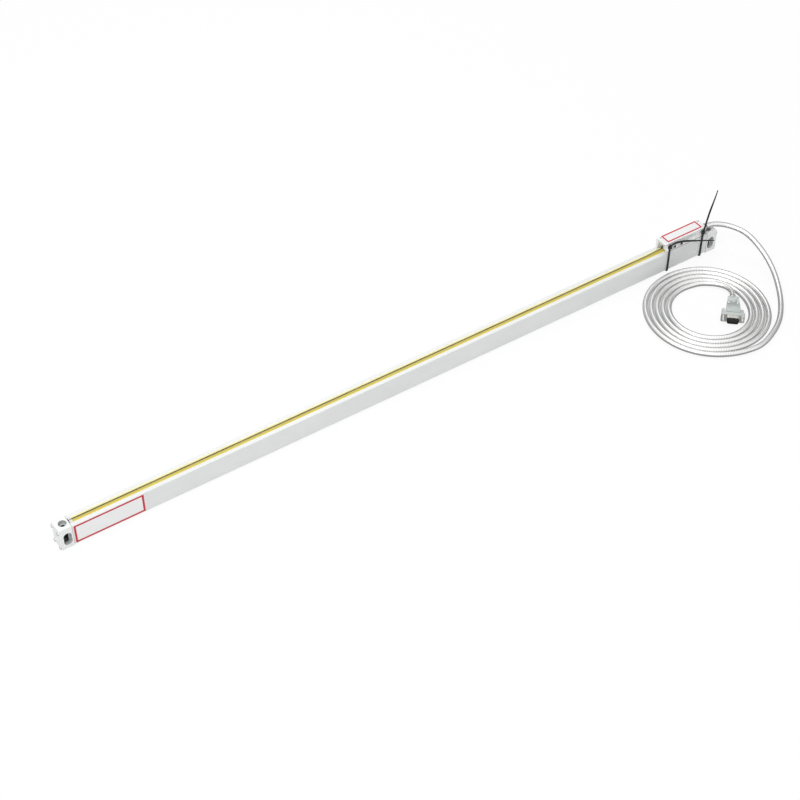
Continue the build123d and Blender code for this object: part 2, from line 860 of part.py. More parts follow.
def cable_coil():
    """Flat ring of the coil's outer shape, stepped by one cable where the lead and the tail leave it."""
    half = cable_diameter / 2
    step = coil_radius(coil_start_turn) - coil_radius(coil_start_turn + 360)
    outer_start = coil_start_turn - squared(coil_start_turn, half)
    outer_end = coil_start_turn + 360 + squared(coil_start_turn, step - half)
    outer = [coil_point(turn, half) for turn in coil_turns(outer_start, outer_end)]
    inner = [coil_point(turn, -half) for turn in coil_turns(coil_end_turn - 360, coil_end_turn)]
    ring = make_face([*arcs(outer), Line(outer[-1], outer[0])])
    hole = make_face([*arcs(inner), Line(inner[-1], inner[0])])
    return extrude(ring, amount=cable_diameter) - extrude(hole, amount=cable_diameter)


def tube(route, name):
    """Cable along straight runs joined by the largest arcs that the runs allow, drawn with flats."""
    points = [Vector(*p) for p in route]
    radii = []
    for before, here, after in zip(points, points[1:], points[2:]):
        run = min((here - before).length, (after - here).length)
        turn = math.radians((here - before).get_angle(after - here))
        radii.append(0.45 * run / math.tan(turn / 2))
    path = FilletPolyline(*points, radius=radii)
    section = Plane(origin=path @ 0, z_dir=path % 0) * RegularPolygon(cable_diameter / 2, cable_sides)
    solid = sweep(section, path=path)
    ratio = solid.volume / (section.area * path.length)
    print(name, "radii", [round(r, 1) for r in radii])
    print(name, "length", round(path.length, 1), "volume ratio", round(ratio, 5))
    return solid


def plug_place(along, sideways=0.0, height=0.0):
    """Point of the plug given along its axis, across it and above the floor."""
    angle = math.radians(plug_direction)
    x = plug_entry[0] + along * math.cos(angle) - sideways * math.sin(angle)
    y = plug_entry[1] + along * math.sin(angle) + sideways * math.cos(angle)
    return (x, y, height)


def beside_head(route):
    """Route's points, whose X counts from the head's right end."""
    return [(head_right_end + x, y, z) for x, y, z in route]


def cable_lead():
    """Cable from its seat in the ferrule to the coil."""
    start = (head_right_end + ferrule_length - ferrule_seat, 0, cable_exit_height)
    end = (*coil_point(coil_start_turn), cable_rest_height)
    return tube([start, *beside_head(lead_route), end], "lead")


def cable_tail():
    """Cable from the coil to its seat in the plug."""
    start = (*coil_point(coil_end_turn), cable_rest_height)
    end = plug_place(hood_cable_seat, 0, plug_axis_height)
    return tube([start, *beside_head(tail_route), end], "tail")


def cable_core():
    """Inner wires between the ferrule and the head's chamber."""
    start = (chamber_right - 1, 0, core_height)
    return pin(core_diameter - 2 * core_fit, start, (1, 0, 0), head_right_end - chamber_right + 1)


def cable_ferrule():
    """Turned sleeve that holds the armour at the head's end."""
    face = (head_right_end, 0, cable_exit_height)
    sleeve = rod(ferrule_diameter, face, (1, 0, 0), ferrule_length)
    seat = (head_right_end + ferrule_length - ferrule_seat, 0, cable_exit_height)
    bore = cable_diameter + 2 * ferrule_wall_clearance
    return sleeve - rod(bore, seat, (1, 0, 0), ferrule_seat)


# Plug, drawn with its cable entry at the origin and its axis along X, then laid in place


def laid(shape):
    """Plug piece moved to where the plug lies."""
    return Pos(plug_entry[0], plug_entry[1], 0) * Rot(0, 0, plug_direction) * shape


def hood_outline(inset):
    """Plan of the hood, or of the hollow in it."""
    tail = hood_tail_half - inset
    half = hood_half - inset
    end = hood_length - (0 if inset else hood_lug_length)
    far = [(end, half), (end, -half)]
    near = [(hood_shoulder, -half), (inset, -tail), (inset, tail), (hood_shoulder, half)]
    return make_face(Polyline([*far, *near], close=True))


def hood_half_shell(upper):
    """One half of the hood, with the lugs for the thumbscrews, split on the cable's axis."""
    shell = extrude(hood_outline(0), amount=hood_height)
    lug_start = hood_length - hood_lug_length
    lug_low = plug_axis_height - flange_height / 2
    lug_side = flange_width / 2
    shell += slab(lug_start, hood_length, -lug_side, lug_side, lug_low, lug_low + flange_height)
    shell += slab(lug_start, hood_length, -hood_half, hood_half, 0, hood_height)
    shell = chamfer(shell.faces().sort_by(Axis.Z)[-1 if upper else 0].edges(), hood_edge)
    hollow = extrude(hood_outline(hood_wall), amount=hood_height - 2 * hood_wall)
    shell -= Pos(0, 0, hood_wall) * hollow
    entry = (0, 0, plug_axis_height)
    shell -= rod(cable_diameter + 2 * ferrule_wall_clearance, entry, (1, 0, 0), hood_cable_seat)
    shell -= rod(hood_core_hole, entry, (1, 0, 0), hood_shoulder)
    post = hood_screw_head + 2 * hood_post_wall
    recess = hood_screw_head + 2 * hood_screw_head_gap
    for x, y in hood_screw_places:
        shell += pin(post, (x, y, hood_post_end), (0, 0, 1), hood_height - 2 * hood_post_end)
        shell -= pin(hood_screw_diameter, (x, y, hood_screw_start), (0, 0, 1), hood_height)
        shell -= screw_head(recess, (x, y, hood_height - hood_screw_head_height), (0, 0, 1), hood_height)
    for side in (-1, 1):
        y = side * thumbscrew_spacing / 2
        hole = thumbscrew_diameter + 2 * thumbscrew_fit
        shell -= rod(hole, (lug_start, y, plug_axis_height), (1, 0, 0), hood_lug_length)
    low = plug_axis_height if upper else 0
    keep = slab(-5, hood_length + 5, -flange_width, flange_width, low, low + plug_axis_height)
    return laid(shell & keep)


def hood_screws():
    """Two screws that hold the hood's halves together."""
    screws = []
    seat = hood_height - hood_screw_head_height
    for x, y in hood_screw_places:
        screw = screw_head(hood_screw_head, (x, y, seat), (0, 0, 1), hood_screw_head_height)
        screw += pin(hood_screw_diameter, (x, y, hood_screw_start), (0, 0, 1), seat - hood_screw_start)
        slot = Box(hood_screw_slot, hood_screw_head, hood_screw_head_height)
        screws.append(laid(screw - Pos(x, y, hood_height) * slot))
    return screws


def d_shape(width, height):
    """Outline of the plug's metal shell, narrower below than above."""
    lean = height * math.tan(math.radians(shell_slant)) / 2
    points = [
        (-width / 2, height / 2),
        (width / 2, height / 2),
        (width / 2 - 2 * lean, -height / 2),
        (-width / 2 + 2 * lean, -height / 2),
    ]
    outline = make_face(Polyline(points, close=True))
    return fillet(outline.vertices(), min(width, height) * 0.24)


def along_plug(x, profile, length):
    """Profile drawn across the plug, extruded along its axis."""
    plane = Plane(origin=(x, 0, plug_axis_height), x_dir=(0, 1, 0), z_dir=(1, 0, 0))
    return extrude(plane * profile, amount=length)


def dsub_shell():
    """Metal flange with the D-shaped collar round the pins."""
    outline = Rectangle(flange_width, flange_height)
    flange = along_plug(hood_length, chamfer(outline.vertices(), flange_corner), flange_thickness)
    collar = along_plug(hood_length, d_shape(shell_width, shell_height), flange_thickness + shell_depth)
    inside = d_shape(shell_width - 2 * shell_wall, shell_height - 2 * shell_wall)
    shell = flange + collar - along_plug(hood_length, inside, flange_thickness + shell_depth)
    for side in (-1, 1):
        y = side * thumbscrew_spacing / 2
        hole = thumbscrew_diameter + 2 * thumbscrew_fit
        shell -= rod(hole, (hood_length, y, plug_axis_height), (1, 0, 0), flange_thickness)
    return laid(shell)


def pin_places():
    """Five pins above and four below."""
    places = []
    for count, row in ((5, pin_row_spacing / 2), (4, -pin_row_spacing / 2)):
        for k in range(count):
            places.append(((k - (count - 1) / 2) * pin_pitch, row))
    return places


def dsub_insulator():
    """Black body that carries the pins, set back in the collar."""
    width = shell_width - 2 * shell_wall - 0.1
    height = shell_height - 2 * shell_wall - 0.1
    start = hood_length - insulator_back
    length = insulator_back + flange_thickness + insulator_front
    body = along_plug(start, d_shape(width, height), length)
    for y, z in pin_places():
        body -= pin(pin_diameter, (start, y, plug_axis_height + z), (1, 0, 0), length)
    return laid(body)


def dsub_pins():
    """Nine contact pins."""
    start = hood_length - insulator_back
    end = hood_length + flange_thickness + shell_depth - pin_recess
    pins = []
    for y, z in pin_places():
        pins.append(laid(pin(pin_diameter, (start, y, plug_axis_height + z), (1, 0, 0), end - start)))
    return pins


def thumbscrew(side):
    """Long thumbscrew beside the hood that fastens the plug to its socket."""
    y = side * thumbscrew_spacing / 2
    lug_start = hood_length - hood_lug_length
    knob_end = lug_start - thumbscrew_knob_gap
    knob_start = (knob_end - thumbscrew_knob_length, y, plug_axis_height)
    knob = screw_head(thumbscrew_knob, knob_start, (1, 0, 0), thumbscrew_knob_length)
    end = hood_length + flange_thickness + thumbscrew_reach
    shaft = rod(thumbscrew_diameter, (knob_end, y, plug_axis_height), (1, 0, 0), end - knob_end)
    slot = Box(2 * thumbscrew_slot, thumbscrew_slot, thumbscrew_knob)
    slot = Pos(knob_end - thumbscrew_knob_length, y, plug_axis_height) * slot
    return laid(knob + shaft - slot)


# Transport ties


def tie_strap(path, flat_direction):
    """Flat strap along a path."""
    plane = Plane(origin=path @ 0, x_dir=flat_direction, z_dir=path % 0)
    return sweep(plane * Rectangle(tie_width, tie_thickness), path=path, transition=Transition.RIGHT)


def cable_tie(x, tail_points, flat_direction):
    """Tie through a cross hole of the head, down the back, under the housing and up the front."""
    side = housing_side + tie_clearance + tie_thickness / 2
    low = housing_bottom - (tie_clearance - 0.05) - tie_thickness / 2
    z = cross_hole_height
    head_front = -head_side - tie_head_depth - 0.1
    points = [
        (x, head_front + 1, z),
        (x, side - tie_bend, z),
        (x, side, z - tie_bend),
        (x, side, low + tie_bend),
        (x, side - tie_bend, low),
        (x, tie_bend - side, low),
        (x, -side, low + tie_bend),
        (x, -side, z - 1),
    ]
    loop = tie_strap(Polyline(*points), (1, 0, 0))
    box = Pos(x, head_front + tie_head_depth / 2, z) * Box(tie_head_width, tie_head_depth, tie_head_height)
    box = chamfer(box.edges().filter_by(Axis.Z), tie_head_edge)
    tail = Polyline(*[(x + along, out, z + up) for along, out, up in tail_points])
    return loop + box + tie_strap(tail, flat_direction)


# Files, one for each node

save("housing", housing())
save("seal_lip_front", seal_lip(-1))
save("seal_lip_back", seal_lip(1))
save("glass_scale", glass_scale())
save("glass_bedding", glass_bedding())
for end_name, end_side in (("left", -1), ("right", 1)):
    save(f"end_block_{end_name}", end_block(end_side))
    save(f"end_gasket_{end_name}", end_gasket(end_side))
    save(f"end_screws_{end_name}", end_screws(end_side))

save("head_body", head_body())
save("head_cover", head_cover())
save("head_end_cap", head_end_cap())
save("end_cap_screws", end_cap_screws())
save("blade_screws", blade_screws())
save("neck_blade", neck_blade())
save("signal_board", signal_board())
save("board_chips", board_chips())
save("ribbon", ribbon())

save("carriage_frame", carriage_frame())
for roller_place in face_roller_places:
    save(f"face_roller_{roller_place[0]}", face_roller(roller_place))
for roller_place in edge_roller_places:
    save(f"edge_roller_{roller_place[0]}", edge_roller(roller_place))
save("face_axles", face_axles())
save("edge_axles", edge_axles())
save("coupling_wire", coupling_wire())
for optics_name, optics_shape in optics().items():
    save(optics_name, optics_shape)

save("cable_ferrule", cable_ferrule())
save("cable_core", cable_core())
save("cable_lead", cable_lead())
save("cable_coil", cable_coil())
save("cable_tail", cable_tail())
save("hood_upper", hood_half_shell(True))
save("hood_lower", hood_half_shell(False))
save("hood_screws", hood_screws())
save("dsub_shell", dsub_shell())
save("dsub_insulator", dsub_insulator())
save("dsub_pins", dsub_pins())
save("thumbscrew_left", thumbscrew(-1))
save("thumbscrew_right", thumbscrew(1))

save("cable_tie_left", cable_tie(cross_hole_left, left_tie_tail, (0, 0, 1)))
save("cable_tie_right", cable_tie(cross_hole_right, right_tie_tail, (1, 0, 0)))
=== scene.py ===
import math

import bmesh
import bpy
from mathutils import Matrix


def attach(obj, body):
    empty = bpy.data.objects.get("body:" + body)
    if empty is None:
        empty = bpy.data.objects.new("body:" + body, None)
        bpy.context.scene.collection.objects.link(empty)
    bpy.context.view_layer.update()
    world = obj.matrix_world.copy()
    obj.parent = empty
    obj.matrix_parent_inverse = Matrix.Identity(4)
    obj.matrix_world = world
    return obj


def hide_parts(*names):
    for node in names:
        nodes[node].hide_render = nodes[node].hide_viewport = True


# Sealed linear glass scale: finishes, labels, armoured cable, fasteners and small details round the fixed model.
# Metres. X runs along the scale, -Y is the face with the label, Z is up.

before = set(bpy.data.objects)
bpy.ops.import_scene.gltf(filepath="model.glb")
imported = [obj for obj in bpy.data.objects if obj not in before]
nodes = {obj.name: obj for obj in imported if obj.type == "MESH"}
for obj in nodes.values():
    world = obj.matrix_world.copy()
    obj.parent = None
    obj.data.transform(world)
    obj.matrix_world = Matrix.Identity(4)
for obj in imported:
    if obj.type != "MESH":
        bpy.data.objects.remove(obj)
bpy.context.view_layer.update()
MM = 0.001


# Places that the finishes and the pieces share, in millimetres

BLOCK_HOLE = 485.5
BLOCK_END = 495.0
HEAD_RIGHT = 473.5
HEAD_TOP = 47.9
CABLE_AXIS = 38.8
PLUG_ENTRY = (442.5, -106.5)
PLUG_TURN = math.radians(-131.5)
PLUG_WAY = (math.cos(PLUG_TURN), math.sin(PLUG_TURN), 0.0)
PLUG_AXIS = 7.5
# Distances from the cable's entry along the plug, and to its sides.
COLLAR_FRONT = 47.8
HOOD_SCREW_ALONG, HOOD_SCREW_SIDE = 19.0, 5.9
THUMBSCREW_ALONG, THUMBSCREW_SIDE = 37.0, 12.5
# Edges that bend more than this are drawn sharp.
SHARP_BEND = math.radians(32)


# Finishes


def linear(hex_colour):
    """sRGB hex to the linear values that shaders use."""
    channels = [int(hex_colour[i:i + 2], 16) / 255 for i in (1, 3, 5)]
    return (*[c / 12.92 if c <= 0.04045 else ((c + 0.055) / 1.055) ** 2.4 for c in channels], 1.0)


def add(tree, kind, links=None, sockets=None, **settings):
    """Adds a node, sets its fields and sockets, and links its inputs."""
    made = tree.nodes.new(kind)
    for name, value in settings.items():
        setattr(made, name, value)
    for name, value in (sockets or {}).items():
        made.inputs[name].default_value = value
    for name, source in (links or {}).items():
        tree.links.new(source, made.inputs[name])
    return made


def calc(tree, operation, *values):
    """Result of a calculation. Each value is a number or the output of another node."""
    made = add(tree, "ShaderNodeMath", operation=operation)
    for socket, value in zip(made.inputs, values):
        if isinstance(value, (int, float)):
            socket.default_value = value
        else:
            tree.links.new(value, socket)
    return made.outputs[0]


def position(tree):
    """A point's place in metres."""
    return add(tree, "ShaderNodeTexCoord").outputs["Object"]


def stretched(tree, vector, scale):
    """Place scaled along its axes, which stretches the texture on it."""
    return add(tree, "ShaderNodeMapping", {"Vector": vector}, {"Scale": scale}).outputs[0]


def noise(tree, vector, grain_mm, detail, **sockets):
    """Noise whose grain has a real size."""
    sizes = {"Scale": 1 / (grain_mm * MM), "Detail": detail, **sockets}
    return add(tree, "ShaderNodeTexNoise", {"Vector": vector}, sizes).outputs["Fac"]


def blend(tree, factor, first, second):
    """Colour between two colours. Each is a hex value or the output of another node."""
    made = add(tree, "ShaderNodeMix", {0: factor}, data_type="RGBA")
    for socket, colour in ((made.inputs[6], first), (made.inputs[7], second)):
        if isinstance(colour, str):
            socket.default_value = linear(colour)
        else:
            tree.links.new(colour, socket)
    return made.outputs[2]


def ramp(tree, factor, first, last, *stops):
    """Colour on a ramp from first to last, by way of stops."""
    made = add(tree, "ShaderNodeValToRGB", {"Fac": factor})
    elements = made.color_ramp.elements
    elements[0].color, elements[1].color = linear(first), linear(last)
    for stop, colour in stops:
        elements.new(stop).color = linear(colour)
    return made.outputs["Color"]


def new_material(name, **sockets):
    """Material with one principled shader, its uniform values set on the sockets themselves."""
    material = bpy.data.materials.new(name)
    material.use_nodes = True
    tree = material.node_tree
    shader = tree.nodes["Principled BSDF"]
    for socket, value in sockets.items():
        shader.inputs[socket.replace("_", " ")].default_value = value
    return material, tree, shader


def finished(tree, shader, colour, gloss, rough, height, strength, relief_mm=0.02):
    """Links colour, roughness (gloss spread over rough) and the bump of a height to the shader."""
    bump = add(tree, "ShaderNodeBump", {"Height": height}, {"Strength": strength, "Distance": relief_mm * MM})
    sheen = add(tree, "ShaderNodeMapRange", {"Value": gloss}, {"To Min": rough[0], "To Max": rough[1]})
    tree.links.new(colour, shader.inputs["Base Color"])
    tree.links.new(sheen.outputs[0], shader.inputs["Roughness"])
    tree.links.new(bump.outputs[0], shader.inputs["Normal"])


def grained(name, light, dark, grain_mm, stretch=(1, 1, 1), relief_mm=0.02, rough=(0.35, 0.45), metal=0.0, **sockets):
    """Finish whose colour, gloss and height vary with a grain of a real size."""
    material, tree, shader = new_material(name, Metallic=metal, **sockets)
    grain = noise(tree, stretched(tree, position(tree), stretch), grain_mm, 3.0, Roughness=0.55)
    finished(tree, shader, blend(tree, grain, dark, light), grain, rough, grain, 0.35, relief_mm)
    return material


def anodised_extrusion():
    """Clear anodised aluminium: pale satin metal with fine die lines along its length."""
    material, tree, shader = new_material("anodised_extrusion", Metallic=0.12)
    place = position(tree)
    # Die lines are about 0.2 mm apart and drawn 0.9 mm apart, so that they show.
    lines = noise(tree, stretched(tree, place, (0.012, 1, 1)), 0.9, 4.0, Roughness=0.6)
    # Broad, faint cloudiness of the oxide, some 60 mm across.
    cloud = noise(tree, place, 60, 2.0)
    colour = blend(tree, calc(tree, "MULTIPLY", lines, cloud), "#E6E9E8", "#F6F8F7")
    finished(tree, shader, colour, lines, (0.36, 0.52), lines, 0.25)
    return material


# Boxes in an end block where shade is painted, each with its middle and half size along X from the hole's axis, Y and
# Z.
RECESS_SHADE_BOXES = (((BLOCK_HOLE, 5.6), (0.0, 9.88), (16.25, 16.13)),)
BORE_SHADE_BOXES = (((BLOCK_HOLE, 2.95), (0.0, 4.6), (15.0, 11.9)), ((BLOCK_HOLE, 2.95), (2.7, 7.1), (15.0, 8.5)))


def blasted_block():
    """Bead-blasted, silver-painted casting: almost white, with painted shade, grey in its recesses and dark in the
    bores behind them.
    """
    material, tree, shader = new_material("blasted_block_casting_painted_shade", Metallic=0.08)
    place = position(tree)
    grain = noise(tree, place, 0.5, 3.0)
    tone = blend(tree, grain, "#EBEDEC", "#F7F8F8")
    # The recesses' walls lie inside the outer skin, and the bores' walls inside the recesses: painted shade, grey on
    # the recesses' walls and dark on the bores'.
    x, y, z = add(tree, "ShaderNodeSeparateXYZ", {"Vector": place}).outputs
    either = calc(tree, "ABSOLUTE", x)
    for colour, boxes in (("#C4C6C6", RECESS_SHADE_BOXES), ("#474748", BORE_SHADE_BOXES)):
        for box in boxes:
            inside = 1.0
            for source, (middle, reach) in zip((either, y, z), box):
                inside = calc(tree, "MULTIPLY", inside, calc(tree, "COMPARE", source, middle * MM, reach * MM))
            tone = blend(tree, inside, tone, colour)
    finished(tree, shader, tone, grain, (0.40, 0.54), grain, 0.35, 0.03)
    return material


# The lip's colour across the slot, front to back: its own yellow with painted shade, darkest olive near the slit, and
# lightened towards the back.
LIP_TONES_AND_PAINTED_SHADE = (
    (0.10, "#DCC94E"), (0.21, "#C2B045"), (0.34, "#BDB06A"), (0.43, "#94905F"),
    (0.54, "#A69F6C"), (0.65, "#DDD590"), (0.755, "#FCF3B4"), (0.87, "#FFFBDC"),
)
LIP_GREY_FROM = 473.8


def sealing_lip():
    """Flexible yellow polyurethane strip, with painted light and shade across the slot: yellow in front, olive painted
    shade at the slit, cream at the back, and a wavy gloss.
    """
    material, tree, shader = new_material("polyurethane_lip_painted_shade", Metallic=0.0, IOR=1.5)
    place = position(tree)
    x, y, _ = add(tree, "ShaderNodeSeparateXYZ", {"Vector": place}).outputs
    # From the front edge of the slot to its back edge, 9.2 mm apart, the colour runs through the painted shade at the
    # slit.
    across = add(tree, "ShaderNodeMapRange", {"Value": y}, {"From Min": -4.6 * MM, "From Max": 4.6 * MM})
    tones = ramp(tree, across.outputs[0], "#EAD977", "#FFFBE6", *LIP_TONES_AND_PAINTED_SHADE)
    # The strip's ends, under the end blocks' edges, are cut from grey rubber.
    ends = calc(tree, "GREATER_THAN", calc(tree, "ABSOLUTE", x), LIP_GREY_FROM * MM)
    # The strip's surface waves gently every 25 mm or so, as a rolled strip does.
    wave = noise(tree, stretched(tree, place, (1, 6, 6)), 25, 2.0)
    height = calc(tree, "ADD", noise(tree, place, 0.5, 2.0), wave)
    finished(tree, shader, blend(tree, ends, tones, "#DADCDB"), wave, (0.30, 0.48), height, 0.3, 0.05)
    return material


def interlocked_armour():
    """Wound stainless strip: bright on the crowns of the turns, with painted shade darker in the grooves between them.
    """
    material, tree, shader = new_material("interlocked_stainless_armour_painted_shade", Metallic=1.0)
    crown = add(tree, "ShaderNodeAttribute", attribute_name="crown")
    grain = noise(tree, position(tree), 0.7, 2.0)
    # Painted shade: the colour darkens from the crowns down into the grooves.
    colour = ramp(tree, crown.outputs["Fac"], "#8B8A89", "#F4F4F4", (0.35, "#D9D9D8"))
    finished(tree, shader, colour, grain, (0.24, 0.34), grain, 0.2)
    return material


def turned(name, light, dark, ring_mm):
    """Lathe-turned metal: fine rings across the axis along X."""
    material, tree, shader = new_material(name, Metallic=1.0)
    # A wave texture of scale 1 has a band each 0.314 m.
    sizes = {"Scale": 0.314 / (ring_mm * MM), "Distortion": 0.6, "Detail": 1.0}
    rings = add(tree, "ShaderNodeTexWave", {"Vector": position(tree)}, sizes, bands_direction="X").outputs["Fac"]
    finished(tree, shader, blend(tree, rings, dark, light), rings, (0.22, 0.34), rings, 0.3)
    return material


def shell_with_painted_shade_collar():
    """Tinned steel flange, bright and slightly wavy, whose collar in front of it is painted black and dull as shade."""
    material, tree, shader = new_material("tinned_steel_painted_shade_collar")
    place = position(tree)
    start = sum(a * b for a, b in zip(PLUG_ENTRY, PLUG_WAY)) + COLLAR_FRONT
    along = add(tree, "ShaderNodeVectorMath", {0: place}, {1: PLUG_WAY}, operation="DOT_PRODUCT")
    # Painted shade: past the flange's front the collar is black, and not metal.
    collar = calc(tree, "GREATER_THAN", along.outputs["Value"], start * MM)
    grain = noise(tree, place, 3, 3.0)
    colour = blend(tree, collar, blend(tree, grain, "#C4C4C0", "#E4E4E0"), "#1A1A1C")
    tree.links.new(calc(tree, "SUBTRACT", 1.0, collar), shader.inputs["Metallic"])
    finished(tree, shader, colour, grain, (0.22, 0.36), grain, 0.3, 0.03)
    return material


finish = {
    "extrusion": anodised_extrusion(),
    "lip": sealing_lip(),
    "armour": interlocked_armour(),
    "block": blasted_block(),
    # Die-cast zinc of the carriage: soft bright metal with a 0.5 mm grain.
    "casting": grained("blasted_casting", "#E6E8E8", "#D5D8D8", 0.5, relief_mm=0.03, rough=(0.30, 0.44), metal=0.6),
    # Milled and anodised aluminium of the head: pale, with a grain drawn out along X.
    "head": grained(
        "milled_head_aluminium", "#FAFBFB", "#EFF1F1", 0.6, stretch=(0.15, 1, 1), relief_mm=0.02, rough=(0.30, 0.42),
        metal=0.1
    ),
    # Gasket sheet: dull, light grey rubber.
    "gasket": grained("nitrile_sheet", "#A2A2A0", "#8C8C8A", 0.4, rough=(0.7, 0.85)),
    # Zinc-plated steel, cold-headed: bright, faintly mottled.
    "screw": grained("zinc_plated_steel", "#F0F1F1", "#D2D4D5", 0.8, relief_mm=0.02, rough=(0.22, 0.36), metal=0.6),
    # Black-oxide steel of the clamp screws: dark brown-grey.
    "dark_screw": grained("black_oxide_steel", "#6A6562", "#4E4A48", 0.8, relief_mm=0.02, rough=(0.3, 0.45), metal=1.0),
    # Float glass: clear, with the faint green of its thickness.
    "glass": grained(
        "float_glass", "#DCE9E4", "#CFE0DA", 20, relief_mm=0.001, rough=(0.03, 0.06), IOR=1.52, Transmission_Weight=0.9
    ),
    # Silicone: milky and dull.
    "bedding": grained("silicone_bedding", "#E6E6E2", "#D6D6D0", 1.5, rough=(0.5, 0.65)),
    # Blued spring steel: dark, rolled along its length.
    "blade": grained(
        "blued_spring_steel", "#4A4A48", "#2F2F2E", 0.4, stretch=(0.05, 1, 1), rough=(0.28, 0.42), metal=1.0
    ),
    # Solder mask on glass-epoxy: mid green.
    "board": grained("epoxy_board", "#1F6B3A", "#175230", 0.6, rough=(0.35, 0.5)),
    # Moulded epoxy: near black and matt.
    "chip": grained("moulded_epoxy", "#232323", "#181818", 0.2, rough=(0.5, 0.65)),
    # Polyimide: amber, fine lines along the tracks.
    "ribbon": grained("polyimide_film", "#C07A2A", "#A6651E", 1.0, stretch=(4, 1, 0.1), rough=(0.25, 0.4)),
    # Ground steel of the rollers and axles: bright, with fine grinding lines.
    "steel": grained("ground_steel", "#C4C6C8", "#A6A8AA", 0.15, stretch=(1, 1, 4), rough=(0.15, 0.28), metal=1.0),
    # Nickelled brass: warm bright metal with the lathe's rings.
    "ferrule": turned("nickelled_brass", "#DAD9D4", "#A9A8A2", 0.5),
    # Black sheath of the inner wires, and the black ring of painted shade at the cable's start: smooth and dark.
    "core": grained("black_sheath", "#242424", "#181818", 0.8, rough=(0.45, 0.6)),
    # Metallised moulded hood: greenish grey with a fine spark-eroded texture of 0.4 mm.
    "hood": grained("metallised_hood", "#CBD1CE", "#B8BFBC", 0.4, relief_mm=0.05, rough=(0.36, 0.50), metal=0.2),
    # Tinned shell whose collar is painted black as shade.
    "shell": shell_with_painted_shade_collar(),
    # Glass-filled plastic round the pins: black, half matt.
    "insulator": grained("black_insulator", "#161617", "#0E0E10", 0.3, rough=(0.4, 0.55)),
    # Thin gold over nickel: dull yellow.
    "pin": grained("gold_flash", "#7A6C48", "#655838", 0.6, rough=(0.2, 0.3), metal=1.0),
    # Black nylon: moulded, with the faint flow marks along the strap.
    "tie": grained("black_nylon", "#121214", "#09090A", 0.35, rough=(0.42, 0.56), IOR=1.53),
    # Label film: white polyester with a satin coat, and red ink printed on it.
    "film": grained("white_polyester_film", "#F4F5F5", "#EBECEC", 1.2, relief_mm=0.005, rough=(0.32, 0.40), IOR=1.5),
    "ink": grained("red_screen_ink", "#D22C3C", "#C42333", 0.5, relief_mm=0.004, rough=(0.38, 0.48), IOR=1.5),
}

dressing = {
    "extrusion": ["housing"],
    "lip": ["seal_lip_front", "seal_lip_back"],
    "block": ["end_block_left", "end_block_right"],
    "casting": ["carriage_frame"],
    "head": ["head_body", "head_cover", "head_end_cap"],
    "gasket": ["end_gasket_left", "end_gasket_right"],
    "dark_screw": ["blade_screws"],
    "screw": [
        "end_screws_left", "end_screws_right", "end_cap_screws", "hood_screws", "thumbscrew_left", "thumbscrew_right"
    ],
    "glass": ["glass_scale", "index_glass", "lamp_lens"],
    "bedding": ["glass_bedding"],
    "blade": ["neck_blade"],
    "board": ["signal_board", "lamp_board", "receiver_board"],
    "chip": ["board_chips", "receiver_block"],
    "ribbon": ["ribbon"],
    "steel": [
        "face_axles", "edge_axles", "coupling_wire", "face_roller_left", "face_roller_right", "face_roller_low",
        "edge_roller_left", "edge_roller_right"
    ],
    "ferrule": ["cable_ferrule"],
    "core": ["cable_core"],
    "hood": ["hood_upper", "hood_lower"],
    "shell": ["dsub_shell"],
    "insulator": ["dsub_insulator"],
    "pin": ["dsub_pins"],
    "tie": ["cable_tie_left", "cable_tie_right"],
    "armour": ["cable_lead", "cable_coil", "cable_tail"],
}
for key, names in dressing.items():
    for node_name in names:
        mesh = nodes[node_name].data
        mesh.materials.clear()
        mesh.materials.append(finish[key])


# Making pieces


def linked(name, data):
    """New object in the scene."""
    piece = bpy.data.objects.new(name, data)
    bpy.context.scene.collection.objects.link(piece)
    return piece


def evaluated(piece):
    """Plain mesh of an object as its modifiers shape it. The object itself is taken away."""
    bpy.context.view_layer.update()
    mesh = bpy.data.meshes.new_from_object(piece.evaluated_get(bpy.context.evaluated_depsgraph_get()))
    bpy.data.objects.remove(piece)
    return mesh


def placed(name, mesh, body, slot, *replaced):
    """Object of a finished mesh that rides a body and stands for nodes."""
    piece = linked(name, mesh)
    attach(piece, body)
    if replaced:
        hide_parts(*replaced)
    return piece


def closed_mesh(name, shape, material):
    """Mesh of a bmesh whose doubles are merged and whose faces point outwards."""
    bmesh.ops.remove_doubles(shape, verts=shape.verts, dist=0.001 * MM)
    bmesh.ops.recalc_face_normals(shape, faces=shape.faces)
    mesh = bpy.data.meshes.new(name)
    shape.to_mesh(mesh)
    shape.free()
    mesh.materials.append(material)
    mesh.shade_smooth()
    mesh.set_sharp_from_angle(angle=SHARP_BEND)
    return mesh


def swept(shape, sections):
    """Skin over closed sections of the same count, with both ends closed."""
    rings = [[shape.verts.new(point) for point in section] for section in sections]
    count = len(rings[0])
    for first, second in zip(rings, rings[1:]):
        for k in range(count):
            n = (k + 1) % count
            shape.faces.new((first[k], first[n], second[n], second[k]))
    shape.faces.new(rings[0][::-1])
    shape.faces.new(rings[-1])


def input_value(modifier, tree, name, value):
    """Sets a named input of a node tree on its modifier."""
    for item in tree.interface.items_tree:
        if item.item_type == "SOCKET" and item.in_out == "INPUT" and item.name == name:
            modifier[item.identifier] = value


def node_mesh(name, base, tree, values):
    """Plain mesh that the tree makes of a base mesh."""
    source = linked(name, base)
    modifier = source.modifiers.new("nodes", "NODES")
    modifier.node_group = tree
    for key, value in values.items():
        input_value(modifier, tree, key, value)
    return evaluated(source)


